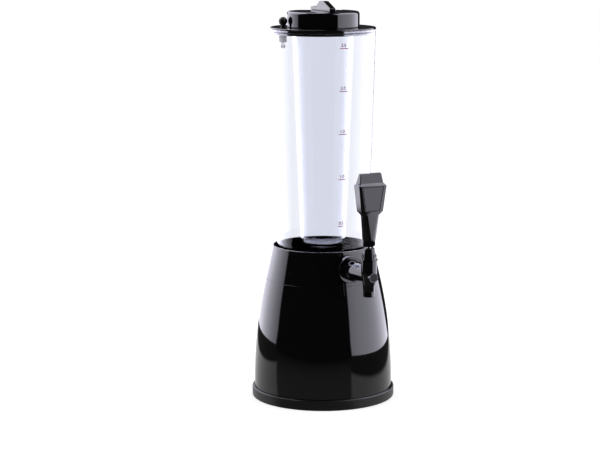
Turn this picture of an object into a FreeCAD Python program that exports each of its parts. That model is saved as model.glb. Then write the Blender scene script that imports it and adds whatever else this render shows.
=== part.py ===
import FreeCAD, Part
import math
import os

import Sketcher
from FreeCAD import Placement, Rotation, Vector

# Drinks tower with a tap: a pedestal carries a collar, the collar holds a clear tank, and an ice
# tube hangs in the tank from the lid. The tap points to -Y, +Z is up, and the origin is on the
# tower's axis at the surface that it stands on. Millimetres and degrees.

SIZES = {
    # base plate
    "base_radius": 90.0,
    "base_top": 13.0,
    "base_lift": 0.8,
    "base_floor": 4.0,
    "base_edge_round": 1.4,
    "base_rim_width": 2.8,
    "ledge_depth": 2.0,
    "ledge_width": 3.6,
    "shell_clearance": 0.4,
    "pad_inset": 23.0,
    "pad_thickness": 1.8,
    "screw_count": 4,
    "screw_inset": 10.8,
    "screw_radius": 1.9,
    "screw_length": 14.0,
    "screw_head_radius": 3.6,
    "screw_head_height": 1.8,
    "screw_head_clearance": 0.3,
    "screw_clearance": 0.1,
    "boss_wall": 2.6,
    "boss_height": 28.0,
    "boss_gap": 0.3,
    # pedestal shell
    "seam_height": 152.0,
    "seam_bevel": 0.5,
    "shell_bow_radius": 960.0,
    "housing_wall": 2.4,
    # collar that holds the tank
    "collar_height": 42.0,
    "collar_flare": 9.4,
    "rim_clearance": 3.0,
    "rim_round": 0.8,
    "spigot_depth": 9.0,
    "spigot_clearance": 0.4,
    "spigot_wall": 3.0,
    "web_drop": 0.6,
    "web_height": 4.5,
    "collar_floor_drop": 3.5,
    "collar_floor_thickness": 3.0,
    "collar_floor_land": 26.0,
    "seat_ring_height": 4.0,
    "seat_ring_wall": 2.0,
    "rib_count": 8,
    "rib_thickness": 2.0,
    "rib_depth": 5.0,
    # tank
    "tank_foot_radius": 56.2,
    "tank_height": 317.1,
    "tank_flare": 9.5,
    "tank_wall": 2.0,
    "tank_floor": 3.0,
    "tank_foot_round": 3.0,
    "tank_clearance": 0.5,
    # lid
    "lid_overhang": 0.3,
    "lid_thickness": 2.2,
    "lid_skirt_depth": 6.0,
    "lid_skirt_wall": 2.0,
    "lid_skirt_clearance": 0.5,
    "lid_seal_height": 1.6,
    "lid_seal_depth": 1.0,
    "lid_seal_clearance": 0.06,
    "seal_slack": 0.1,
    "neck_height": 10.0,
    "neck_wall": 2.6,
    "tube_clearance": 0.6,
    # ice tube and its cap
    "tube_foot_gap": 37.5,
    "tube_tank_gap": 27.4,
    "tube_flare": 10.3,
    "tube_wall": 2.0,
    "tube_foot_round": 3.0,
    "tube_flange_thickness": 2.0,
    "cap_clearance": 1.9,
    "cap_wall": 2.2,
    "cap_roof": 3.6,
    "cap_crown": 1.4,
    "cap_plug_roof": 2.4,
    "cap_edge_round": 3.6,
    "cap_foot_gap": 0.3,
    "cap_plug_depth": 8.0,
    "cap_plug_wall": 2.0,
    "cap_plug_clearance": 0.8,
    "cap_seal_thickness": 1.6,
    "grip_angle": -74.0,
    "grip_boss_radius": 10.0,
    "grip_boss_height": 1.6,
    "grip_length": 39.0,
    "grip_thickness": 8.0,
    "grip_brim": 4.2,
    "grip_rise": 7.8,
    "grip_hump_foot": 16.0,
    "grip_hump_top": 6.0,
    "grip_round": 0.8,
    # air vent in the lid
    "vent_angle": -189.0,
    "vent_cap_gap": 0.8,
    "vent_ball_radius": 5.4,
    "vent_ball_lift": 8.0,
    "vent_stem_radius": 2.6,
    "vent_waist": 0.9,
    "vent_leg_length": 7.6,
    "vent_leg_gap": 1.6,
    "vent_barb": 0.7,
    "vent_bush_radius": 4.8,
    "vent_bush_length": 15.6,
    "vent_bush_step": 1.0,
    "vent_clearance": 0.1,
    "vent_ring_depth": 5.2,
    "vent_ring_radius": 0.4,
    "vent_ring_slack": 0.06,
    # tap: the shank runs along the tap axis, the column stands across its outer end
    "tap_offset": 0.7,
    "tail_length": 36.0,
    "shank_radius": 10.0,
    "shank_wall": 2.8,
    "shank_overrun": 1.0,
    "hole_clearance": 0.4,
    "thread_clearance": 0.1,
    "tap_boss_radius": 16.6,
    "tap_boss_proud": 0.6,
    "escutcheon_radius": 16.8,
    "escutcheon_thickness": 4.0,
    "escutcheon_round": 1.2,
    "jam_nut_radius": 13.0,
    "jam_nut_length": 11.0,
    "jam_nut_slots": 8,
    "jam_nut_slot_width": 3.2,
    "jam_nut_slot_depth": 1.5,
    "jam_nut_land": 3.6,
    "jam_nut_bevel": 0.7,
    "outer_gasket_radius": 14.5,
    "outer_gasket_thickness": 3.4,
    "inner_gasket_radius": 13.5,
    "inner_gasket_thickness": 2.0,
    "gasket_slack": 0.1,
    "lock_nut_radius": 14.0,
    "lock_nut_length": 6.5,
    "lock_nut_flange": 2.2,
    "lock_nut_hub": 2.2,
    "lock_nut_wings": 8,
    "lock_nut_wing_inset": 0.5,
    "tail_collar_width": 2.0,
    "tail_collar_step": 1.2,
    "tail_tip_radius": 7.8,
    "seat_back": 23.5,
    "seat_length": 4.5,
    "seat_bore_radius": 4.6,
    "passage_step": 1.0,
    "column_rise": 21.0,
    "column_lip": 0.5,
    "column_lip_height": 1.2,
    "column_radius": 10.1,
    "column_waist_rise": 4.3,
    "column_waist_radius": 9.8,
    "spout_drop": 25.0,
    "spout_shoulder_rise": 15.3,
    "spout_shoulder_radius": 7.7,
    "spout_tip_radius": 6.6,
    "spout_bore_radius": 4.6,
    "spout_bore_length": 13.3,
    "chamber_radius": 7.5,
    "chamber_funnel": 9.0,
    "bonnet_bore_radius": 8.0,
    "bonnet_bore_depth": 8.7,
    "stub_radius": 5.9,
    "stub_length": 12.1,
    # bonnet, lever and handle
    "pivot_rise": 4.3,
    "ball_radius": 4.6,
    "socket_clearance": 0.08,
    "socket_gap": 1.0,
    "lever_neck_radius": 2.5,
    "lever_foot_radius": 1.5,
    "lever_tip_radius": 2.1,
    "lever_tip_rise": 2.3,
    "lever_thread_radius": 3.0,
    "bonnet_foot_radius": 9.0,
    "bonnet_top_radius": 6.7,
    "bonnet_height": 13.7,
    "bonnet_wall": 2.3,
    "bonnet_skirt_bore": 6.7,
    "bonnet_skirt_step": 6.0,
    "bonnet_mouth_radius": 5.7,
    "bonnet_throat_radius": 3.8,
    "bonnet_ribs": 10,
    "bonnet_rib_width": 1.4,
    "bonnet_rib_height": 6.0,
    "ball_seat_flange": 1.0,
    "ball_seat_throat": 4.2,
    "ball_seat_flare_drop": 8.1,
    "ball_seat_flare": 1.4,
    "collar_nut_gap": 3.0,
    "collar_nut_height": 6.6,
    "collar_nut_flats": 14.0,
    "collar_nut_corner": 1.0,
    "lever_thread_lead": 0.4,
    "handle_gap": 0.1,
    "insert_wall": 0.7,
    "insert_foot_gap": 1.0,
    "insert_depth": 21.9,
    "insert_clearance": 0.1,
    "handle_foot_width": 12.0,
    "handle_foot_depth": 10.0,
    "handle_foot_front": 5.2,
    "handle_neck_length": 31.5,
    "handle_neck_width": 17.0,
    "handle_neck_depth": 12.0,
    "handle_neck_front": 8.5,
    "paddle_flare_length": 6.0,
    "paddle_foot_width": 25.5,
    "paddle_foot_depth": 11.0,
    "paddle_foot_front": 9.0,
    "paddle_length": 31.0,
    "paddle_wide_width": 35.4,
    "paddle_wide_depth": 12.0,
    "paddle_wide_front": 9.8,
    "paddle_roof_length": 13.4,
    "paddle_top_width": 28.5,
    "paddle_top_depth": 2.5,
    "paddle_top_front": 7.0,
    "panel_root": 1.0,
    "panel_rise": 1.5,
    "panel_bevel": 2.4,
    "panel_foot_bevel": 1.2,
    "panel_top_bevel": 3.4,
    "panel_margin": 0.4,
    # plunger that the lever drives
    "plunger_radius": 3.0,
    "plunger_core_radius": 2.0,
    "plunger_block_radius": 4.5,
    "plunger_block_half": 3.6,
    "plunger_eye_radius": 2.5,
    "plunger_eye_slack": 0.5,
    "plunger_tip_gap": 0.4,
    "plunger_wing_clearance": 0.1,
    "plunger_wing_thickness": 1.2,
    "plunger_wings": 3,
    "plunger_guide_clearance": 0.06,
    "seat_washer_radius": 6.3,
    "seat_washer_thickness": 3.0,
    "seat_washer_gap": 0.05,
    "washer_nut_radius": 4.0,
    "washer_nut_length": 2.4,
    "front_plug_wall": 1.2,
    "front_plug_length": 8.0,
    # how far a cut runs past the face that it opens
    "overcut": 1.0,
}

doc = FreeCAD.newDocument("DrinksTower")
sheet = doc.addObject("Spreadsheet::Sheet", "Sizes")
for row, (alias, value) in enumerate(SIZES.items(), start=1):
    sheet.set(f"A{row}", alias)
    sheet.set(f"B{row}", str(value))
    sheet.setAlias(f"B{row}", alias)
doc.recompute()


class Measure:
    """A number together with the expression over the Sizes sheet that gives it."""

    def __init__(self, value, text):
        self.value = value
        self.text = text

    @staticmethod
    def of(item):
        if isinstance(item, Measure):
            return item
        return Measure(float(item), repr(float(item)))

    def __add__(self, other):
        other = Measure.of(other)
        return Measure(self.value + other.value, f"({self.text} + {other.text})")

    def __sub__(self, other):
        other = Measure.of(other)
        return Measure(self.value - other.value, f"({self.text} - {other.text})")

    def __mul__(self, other):
        other = Measure.of(other)
        return Measure(self.value * other.value, f"({self.text} * {other.text})")

    def __truediv__(self, other):
        other = Measure.of(other)
        return Measure(self.value / other.value, f"({self.text} / {other.text})")

    def __radd__(self, other):
        return Measure.of(other) + self

    def __rsub__(self, other):
        return Measure.of(other) - self

    def __rmul__(self, other):
        return Measure.of(other) * self

    def __neg__(self):
        return Measure(-self.value, f"(0 - {self.text})")

    def root(self):
        return Measure(math.sqrt(self.value), f"sqrt({self.text})")


class Sizes:
    """Every cell of the sheet as a Measure, by its alias."""

    def __getattr__(self, alias):
        return Measure(float(SIZES[alias]), f"Sizes.{alias}")


S = Sizes()
NOTHING = Measure.of(0)
sub_parts = []


# ---------------------------------------------------------------- helpers

def bind(item, path, measure):
    """Sets a property of a document object from a Measure and keeps it bound to the sheet."""
    item.setExpression(path, Measure.of(measure).text)


def new_body(label, x=0, y=0, z=0, turn=0, tilt=0):
    """A body whose origin is at x, y, z, turned about Z and tilted about X, in degrees."""
    body = doc.addObject("PartDesign::Body", label)
    body.Label = label
    turned = Rotation(Vector(0, 0, 1), Measure.of(turn).value)
    tilted = Rotation(Vector(1, 0, 0), tilt)
    body.Placement = Placement(Vector(0, 0, 0), turned.multiply(tilted))
    for axis, place in (("x", x), ("y", y), ("z", z)):
        bind(body, f"Placement.Base.{axis}", place)
    if isinstance(turn, Measure):
        bind(body, "Placement.Rotation.Angle", turn)
    sub_parts.append(body)
    return body


def tap_axis_body(label):
    """A body whose local Z runs outwards along the tap axis and whose local Y is up."""
    return new_body(label, z=tap_height, tilt=90)


def tap_column_body(label, z=0):
    """A body whose local Z is the upright axis of the tap column."""
    return new_body(label, y=-tap_reach, z=z)


def origin_feature(body, role):
    return next(item for item in body.Origin.OriginFeatures if item.Role == role)


def sketch_on(body, plane, offset=0):
    """An empty sketch on one of the body's origin planes, moved along its normal."""
    sketch = body.newObject("Sketcher::SketchObject", "Sketch")
    sketch.AttachmentSupport = (origin_feature(body, plane), [""])
    sketch.MapMode = "FlatFace"
    bind(sketch, "AttachmentOffset.Base.z", offset)
    return sketch


def pin_point(sketch, geometry, end, x, y):
    """Fixes one point of a sketch at x, y from the sketch's origin."""
    for kind, measure in (("DistanceX", x), ("DistanceY", y)):
        rule = Sketcher.Constraint(kind, -1, 1, geometry, end, Measure.of(measure).value)
        index = sketch.addConstraint(rule)
        bind(sketch, f"Constraints[{index}]", measure)


def arc_between(start, end, radius, bulge):
    """The arc from start to end; bulge 1 bends to the right of the way there, -1 to the left."""
    chord = end - start
    half = chord.Length / 2
    across = Vector(chord.y, -chord.x, 0).normalize()
    centre = (start + end) / 2 - across * (bulge * math.sqrt(radius ** 2 - half ** 2))
    first, last = (start, end) if bulge > 0 else (end, start)
    angles = [math.atan2((p - centre).y, (p - centre).x) for p in (first, last)]
    if angles[1] < angles[0]:
        angles[1] += 2 * math.pi
    circle = Part.Circle(centre, Vector(0, 0, 1), radius)
    return Part.ArcOfCircle(circle, angles[0], angles[1])


def draw_outline(sketch, corners):
    """A closed outline. A corner is (x, y), or (x, y, radius, bulge) where an arc leaves it."""
    points = [Vector(Measure.of(c[0]).value, Measure.of(c[1]).value, 0) for c in corners]
    first = sketch.GeometryCount
    ends = []
    for index, corner in enumerate(corners):
        start = points[index]
        end = points[(index + 1) % len(points)]
        if len(corner) == 2:
            sketch.addGeometry(Part.LineSegment(start, end), False)
            ends.append((1, 2))
            continue
        radius, bulge = Measure.of(corner[2]), corner[3]
        number = sketch.addGeometry(arc_between(start, end, radius.value, bulge), False)
        rule = sketch.addConstraint(Sketcher.Constraint("Radius", number, radius.value))
        bind(sketch, f"Constraints[{rule}]", radius)
        ends.append((1, 2) if bulge > 0 else (2, 1))
    for index, corner in enumerate(corners):
        following = (index + 1) % len(corners)
        sketch.addConstraint(Sketcher.Constraint(
            "Coincident", first + index, ends[index][1], first + following, ends[following][0]))
        pin_point(sketch, first + index, ends[index][0], corner[0], corner[1])


def draw_circle(sketch, x, y, radius):
    centre = Vector(Measure.of(x).value, Measure.of(y).value, 0)
    radius = Measure.of(radius)
    number = sketch.addGeometry(Part.Circle(centre, Vector(0, 0, 1), radius.value), False)
    rule = sketch.addConstraint(Sketcher.Constraint("Radius", number, radius.value))
    bind(sketch, f"Constraints[{rule}]", radius)
    pin_point(sketch, number, 3, x, y)


def rectangle(left, right, low, high):
    return [(left, low), (right, low), (right, high), (left, high)]


def finish_feature(body, feature, removes):
    """Recomputes and makes sure that the feature really added or took away material."""
    before = body.Shape.Volume if body.Shape.Solids else 0.0
    body.Tip = feature
    doc.recompute()
    change = feature.Shape.Volume - before
    if removes and change >= 0:
        raise RuntimeError(f"{body.Label}: {feature.Name} cuts nothing")
    if not removes and change <= 0:
        raise RuntimeError(f"{body.Label}: {feature.Name} adds nothing")
    if not feature.Shape.isValid():
        raise RuntimeError(f"{body.Label}: {feature.Name} gives a faulty shape")
    return feature


def revolve(body, corners, cut=False, plane="XZ_Plane", offset=0):
    """Turns an outline of (radius, height) corners about the sketch's upright axis."""
    sketch = sketch_on(body, plane, offset)
    draw_outline(sketch, corners)
    kind = "PartDesign::Groove" if cut else "PartDesign::Revolution"
    feature = body.newObject(kind, "Turned")
    feature.Profile = sketch
    feature.ReferenceAxis = (sketch, ["V_Axis"])
    feature.Angle = 360
    return finish_feature(body, feature, cut)


def extrude(body, draw, plane, start, length, cut=False):
    """Pads or pockets what draw() puts on a sketch, from start along the plane's normal."""
    sketch = sketch_on(body, plane, start)
    draw(sketch)
    feature = body.newObject("PartDesign::Pocket" if cut else "PartDesign::Pad", "Extruded")
    feature.Profile = sketch
    bind(feature, "Length", length)
    feature.Reversed = cut
    return finish_feature(body, feature, cut)


def bore_up(body, x, radius, start, length):
    """Cuts an upright round hole at a distance x from the body's Z axis."""
    return extrude(
        body, lambda sketch: draw_circle(sketch, x, 0, radius),
        "XY_Plane", start, length, cut=True)


def loft(body, sections):
    """Joins outlines with flat sides into one solid."""
    doc.recompute()
    feature = body.newObject("PartDesign::AdditiveLoft", "Loft")
    feature.Profile = sections[0]
    feature.Sections = sections[1:]
    feature.Ruled = True
    return finish_feature(body, feature, False)


def ball(body, radius, height):
    """Adds a sphere on the body's Z axis."""
    feature = body.newObject("PartDesign::AdditiveSphere", "Ball")
    bind(feature, "Radius", radius)
    feature.AttachmentSupport = (origin_feature(body, "XY_Plane"), [""])
    feature.MapMode = "FlatFace"
    bind(feature, "AttachmentOffset.Base.z", height)
    return finish_feature(body, feature, False)


def repeat_round(body, features, count, cut=False):
    """Repeats features about the body's Z axis."""
    pattern = body.newObject("PartDesign::PolarPattern", "Round")
    pattern.Originals = features
    pattern.Axis = (origin_feature(body, "Z_Axis"), [""])
    pattern.Angle = 360
    bind(pattern, "Occurrences", count)
    return finish_feature(body, pattern, cut)


def round_edges(body, wanted, radius, bevel=False):
    """Fillets, or bevels, the edges of the body for which wanted(edge) is true."""
    base = body.Tip
    names = []
    for number, edge in enumerate(base.Shape.Edges, start=1):
        if not edge.Degenerated and wanted(edge):
            names.append(f"Edge{number}")
    if not names:
        raise RuntimeError(f"{body.Label}: no edge to round")
    kind, size = ("PartDesign::Chamfer", "Size") if bevel else ("PartDesign::Fillet", "Radius")
    feature = body.newObject(kind, "Edges")
    feature.Base = (base, names)
    bind(feature, size, radius)
    body.Tip = feature
    doc.recompute()
    return feature


def circle_edge(radius, height):
    """Picks the full circle of this radius at this height on the body's Z axis."""
    radius, height = Measure.of(radius), Measure.of(height)

    def wanted(edge):
        if not isinstance(edge.Curve, Part.Circle):
            return False
        middle = edge.Curve.Center
        centred = abs(middle.x) < 1e-6 and abs(middle.y) < 1e-6
        same = abs(edge.Curve.Radius - radius.value) < 1e-4
        return centred and same and abs(middle.z - height.value) < 1e-4

    return wanted


# ---------------------------------------------------------------- shared positions

def tank_radius_at(height):
    """Outer radius of the tapered tank at this height."""
    return S.tank_foot_radius + (height - tank_foot) * S.tank_flare / S.tank_height


def collar_radius_at(height):
    """Outer radius of the conical collar at this height."""
    return rim_radius + (rim_height - height) * S.collar_flare / S.collar_height


def inside_chord(radius, reach):
    """How far out a circle of this radius still is at a distance reach to the side."""
    return (radius * radius - reach * reach).root()


# pedestal
ledge_outer = S.base_radius - S.base_rim_width
ledge_inner = ledge_outer - S.ledge_width
seat_plane = S.base_top - S.ledge_depth
plate_floor_top = S.base_lift + S.base_floor
shell_foot_radius = ledge_outer - S.shell_clearance
pad_radius = S.base_radius - S.pad_inset
screw_circle_radius = shell_foot_radius - S.screw_inset
screw_head_foot = S.base_lift + S.screw_clearance
boss_radius = S.screw_radius + S.boss_wall
boss_foot = plate_floor_top + S.boss_gap

# tank and collar
rim_height = S.seam_height + S.collar_height
tank_foot = S.seam_height - S.collar_floor_drop
tank_top = tank_foot + S.tank_height
tank_top_radius = S.tank_foot_radius + S.tank_flare
rim_radius = tank_radius_at(rim_height) + S.rim_clearance + S.housing_wall
seam_radius = rim_radius + S.collar_flare
spigot_radius = seam_radius - S.housing_wall - S.spigot_clearance
spigot_inner = spigot_radius - S.spigot_wall
collar_floor_hole = S.tank_foot_radius - S.collar_floor_land

# lid, ice tube and cap
lid_top = tank_top + S.lid_thickness
lid_radius = tank_top_radius + S.lid_overhang
lid_skirt_radius = tank_top_radius - S.tank_wall - S.lid_skirt_clearance
lid_skirt_foot = tank_top - S.lid_skirt_depth
lid_seal_foot = tank_top - S.lid_skirt_depth / 2 - S.lid_seal_height / 2
neck_top = lid_top + S.neck_height
tube_neck_radius = tank_top_radius - S.tube_tank_gap
tube_foot_radius = tube_neck_radius - S.tube_flare
neck_inner = tube_neck_radius + S.tube_clearance
neck_outer = neck_inner + S.neck_wall
tube_foot = tank_foot + S.tank_floor + S.tube_foot_gap
tube_mouth_radius = tube_neck_radius - S.tube_wall
flange_top = neck_top + S.tube_flange_thickness
seal_top = flange_top + S.cap_seal_thickness
cap_foot = lid_top + S.cap_foot_gap
cap_radius = neck_outer + S.cap_clearance + S.cap_wall
cap_shoulder = seal_top + S.cap_roof
cap_crown_top = cap_shoulder + S.cap_crown
cap_ceiling = cap_shoulder - S.cap_plug_roof
vent_circle_radius = cap_radius + S.vent_cap_gap + S.vent_ball_radius
vent_neck_radius = S.vent_bush_radius - S.vent_bush_step
vent_bush_foot = tank_top - S.vent_bush_length
vent_ring_height = tank_top - S.vent_ring_depth

# tap, by distance out along the tap axis
tap_height = S.seam_height + S.collar_height / 2 + S.tap_offset
boss_root = tank_radius_at(tap_height) + S.outer_gasket_thickness
boss_face = seam_radius + S.tap_boss_proud
jam_nut_foot = boss_face + S.escutcheon_thickness
tail_root = jam_nut_foot + S.jam_nut_length
tap_reach = tail_root + S.tail_length
stub_end = tap_reach + S.stub_length
seat_position = tap_reach - S.seat_back
washer_face = seat_position - S.seat_washer_gap
washer_back = washer_face - S.seat_washer_thickness
shank_bore_radius = S.shank_radius - S.shank_wall
shank_hole_radius = S.shank_radius + S.hole_clearance
nut_bore_radius = S.shank_radius + S.thread_clearance
lock_nut_low = tap_height - S.lock_nut_radius
lock_nut_face = (
    inside_chord(tank_radius_at(lock_nut_low) - S.tank_wall, S.lock_nut_radius)
    - S.inner_gasket_thickness)
lock_nut_end = lock_nut_face - S.lock_nut_length
shank_inner_end = lock_nut_end - S.shank_overrun

# tap, by height
column_top = tap_height + S.column_rise
lip_foot = column_top - S.column_lip_height
bonnet_bore_foot = column_top - S.bonnet_bore_depth
ball_seat_top = bonnet_bore_foot + S.ball_seat_flange
spout_tip = tap_height - S.spout_drop
chamber_foot = spout_tip + S.spout_bore_length
pivot_height = column_top + S.pivot_rise
bonnet_top = column_top + S.bonnet_height
bonnet_bore = S.bonnet_top_radius - S.socket_gap
lever_tip_height = tap_height + S.lever_tip_rise
collar_nut_foot = bonnet_top + S.collar_nut_gap
collar_nut_top = collar_nut_foot + S.collar_nut_height
lever_thread_foot = collar_nut_foot - S.lever_thread_lead
handle_foot = collar_nut_top + S.handle_gap
lever_top = handle_foot + S.insert_depth
insert_radius = S.lever_thread_radius + S.insert_clearance + S.insert_wall
socket_radius = S.ball_radius + S.socket_clearance
skirt_step_height = pivot_height - S.bonnet_skirt_step


# ---------------------------------------------------------------- base and pedestal

def make_base_plate():
    body = new_body("base_plate")
    recess = pad_radius + S.screw_clearance
    revolve(body, [
        (0, S.pad_thickness),
        (recess, S.pad_thickness),
        (recess, S.base_lift),
        (S.base_radius, S.base_lift),
        (S.base_radius, S.base_top),
        (ledge_outer, S.base_top),
        (ledge_outer, seat_plane),
        (ledge_inner, seat_plane),
        (ledge_inner, plate_floor_top),
        (0, plate_floor_top),
    ])
    hole = bore_up(
        body, screw_circle_radius, S.screw_radius + S.screw_clearance,
        S.base_lift, S.base_floor)
    head = bore_up(
        body, screw_circle_radius, S.screw_head_radius + S.screw_head_clearance,
        S.base_lift, S.screw_clearance + S.screw_head_height)
    repeat_round(body, [hole, head], S.screw_count, cut=True)
    round_edges(body, circle_edge(S.base_radius, S.base_top), S.base_edge_round)
    round_edges(body, circle_edge(S.base_radius, S.base_lift), S.base_edge_round)


def make_anti_slip_pad():
    body = new_body("anti_slip_pad")
    revolve(body, rectangle(0, pad_radius, 0, S.pad_thickness))


def make_base_screws():
    body = new_body("base_screws")
    centre = screw_circle_radius
    head_top = screw_head_foot + S.screw_head_height
    tip = screw_head_foot + S.screw_length
    sketch = sketch_on(body, "XZ_Plane")
    draw_outline(sketch, [
        (centre, screw_head_foot),
        (centre + S.screw_head_radius, screw_head_foot),
        (centre + S.screw_head_radius, head_top),
        (centre + S.screw_radius, head_top),
        (centre + S.screw_radius, tip),
        (centre, tip),
    ])
    screw = body.newObject("PartDesign::Revolution", "Screw")
    screw.Profile = sketch
    # The last edge of the outline, which closes it, runs up the screw's own axis.
    screw.ReferenceAxis = (sketch, ["Edge6"])
    screw.Angle = 360
    finish_feature(body, screw, False)
    repeat_round(body, [screw], S.screw_count)


def make_pedestal_shell():
    body = new_body("pedestal_shell")
    wall = S.housing_wall
    revolve(body, [
        (shell_foot_radius - wall, seat_plane),
        (shell_foot_radius, seat_plane, S.shell_bow_radius, 1),
        (seam_radius, S.seam_height),
        (seam_radius - wall, S.seam_height, S.shell_bow_radius - wall, -1),
    ])
    centre = screw_circle_radius
    boss = extrude(
        body, lambda sketch: draw_circle(sketch, centre, 0, boss_radius),
        "XY_Plane", boss_foot, S.boss_height)
    half_rib = S.rib_thickness / 2
    rib = extrude(
        body,
        lambda sketch: draw_outline(
            sketch, rectangle(centre, shell_foot_radius - wall, -half_rib, half_rib)),
        "XY_Plane", seat_plane, boss_foot + S.boss_height - seat_plane)
    pilot = bore_up(
        body, centre, S.screw_radius + S.screw_clearance, boss_foot, S.screw_length)
    repeat_round(body, [boss, rib, pilot], S.screw_count)
    round_edges(body, circle_edge(seam_radius, S.seam_height), S.seam_bevel, bevel=True)


# ---------------------------------------------------------------- collar and tank

def make_collar_shell():
    body = new_body("collar_shell")
    wall = S.housing_wall
    seam = S.seam_height
    floor_foot = tank_foot - S.collar_floor_thickness
    web_foot = seam + S.web_drop
    web_top = web_foot + S.web_height
    spigot_foot = seam - S.spigot_depth
    revolve(body, [
        (rim_radius, rim_height),
        (rim_radius - wall, rim_height),
        (collar_radius_at(web_top) - wall, web_top),
        (spigot_inner, web_foot),
        (spigot_inner, tank_foot),
        (collar_floor_hole, tank_foot),
        (collar_floor_hole, floor_foot),
        (spigot_inner, floor_foot),
        (spigot_inner, spigot_foot),
        (spigot_radius, spigot_foot),
        (spigot_radius, seam),
        (seam_radius, seam),
    ])
    ring_inner = S.tank_foot_radius + S.tank_clearance
    revolve(body, rectangle(
        ring_inner, ring_inner + S.seat_ring_wall,
        tank_foot - S.collar_floor_thickness / 2, tank_foot + S.seat_ring_height))
    half_rib = S.rib_thickness / 2
    rib = extrude(
        body,
        lambda sketch: draw_outline(sketch, rectangle(
            collar_floor_hole, spigot_radius - S.spigot_wall / 2, -half_rib, half_rib)),
        "XY_Plane", floor_foot - S.rib_depth, S.rib_depth + S.collar_floor_thickness / 2)
    repeat_round(body, [rib], S.rib_count)
    # The tap's boss is drawn on the plane that faces -Y through the tower's axis.
    extrude(
        body, lambda sketch: draw_circle(sketch, 0, tap_height, S.tap_boss_radius),
        "XZ_Plane", boss_root, boss_face - boss_root)
    extrude(
        body, lambda sketch: draw_circle(sketch, 0, tap_height, shank_hole_radius),
        "XZ_Plane", boss_root - S.overcut, boss_face - boss_root + 2 * S.overcut, cut=True)
    round_edges(body, circle_edge(rim_radius, rim_height), S.rim_round)
    round_edges(body, circle_edge(rim_radius - wall, rim_height), S.rim_round)
    round_edges(body, circle_edge(seam_radius, seam), S.seam_bevel, bevel=True)


def make_tank():
    body = new_body("tank")
    wall = S.tank_wall
    inner_floor = tank_foot + S.tank_floor
    revolve(body, [
        (0, tank_foot),
        (S.tank_foot_radius, tank_foot),
        (tank_top_radius, tank_top),
        (tank_top_radius - wall, tank_top),
        (tank_radius_at(inner_floor) - wall, inner_floor),
        (0, inner_floor),
    ])
    round_edges(body, circle_edge(S.tank_foot_radius, tank_foot), S.tank_foot_round)
    extrude(
        body, lambda sketch: draw_circle(sketch, 0, tap_height, shank_hole_radius),
        "XZ_Plane", 0, tank_top_radius, cut=True)


# ---------------------------------------------------------------- lid, ice tube and cap

def make_lid():
    body = new_body("lid")
    skirt = lid_skirt_radius
    revolve(body, [
        (neck_inner, tank_top),
        (skirt - S.lid_skirt_wall, tank_top),
        (skirt - S.lid_skirt_wall, lid_skirt_foot),
        (skirt, lid_skirt_foot),
        (skirt, tank_top),
        (lid_radius, tank_top),
        (lid_radius, lid_top),
        (neck_outer, lid_top),
        (neck_outer, neck_top),
        (neck_inner, neck_top),
    ])
    revolve(body, rectangle(
        skirt - S.lid_seal_depth, skirt + S.overcut,
        lid_seal_foot, lid_seal_foot + S.lid_seal_height), cut=True)
    round_edges(body, circle_edge(lid_radius, lid_top), S.rim_round)
    vent_x, vent_y = vent_place()
    extrude(
        body,
        lambda sketch: draw_circle(sketch, vent_x, vent_y, vent_neck_radius + S.vent_clearance),
        "XY_Plane", tank_top - S.overcut, S.lid_thickness + 2 * S.overcut, cut=True)


def make_lid_seal():
    body = new_body("lid_seal")
    slack = S.seal_slack
    inner = lid_skirt_radius - S.lid_seal_depth + slack
    outer = tank_radius_at(lid_seal_foot) - S.tank_wall - S.lid_seal_clearance
    revolve(body, rectangle(
        inner, outer, lid_seal_foot + slack, lid_seal_foot + S.lid_seal_height - slack))


def make_ice_tube():
    body = new_body("ice_tube")
    wall = S.tube_wall
    inner_floor = tube_foot + wall
    flare = S.tube_flare / (tank_top - tube_foot)
    revolve(body, [
        (0, tube_foot),
        (tube_foot_radius, tube_foot),
        (tube_neck_radius, tank_top),
        (tube_neck_radius, neck_top),
        (neck_outer, neck_top),
        (neck_outer, flange_top),
        (tube_mouth_radius, flange_top),
        (tube_mouth_radius, tank_top),
        (tube_foot_radius + wall * flare - wall, inner_floor),
        (0, inner_floor),
    ])
    round_edges(body, circle_edge(tube_foot_radius, tube_foot), S.tube_foot_round)


def make_cap_seal():
    body = new_body("cap_seal")
    revolve(body, rectangle(tube_mouth_radius, neck_outer, flange_top, seal_top))


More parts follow.
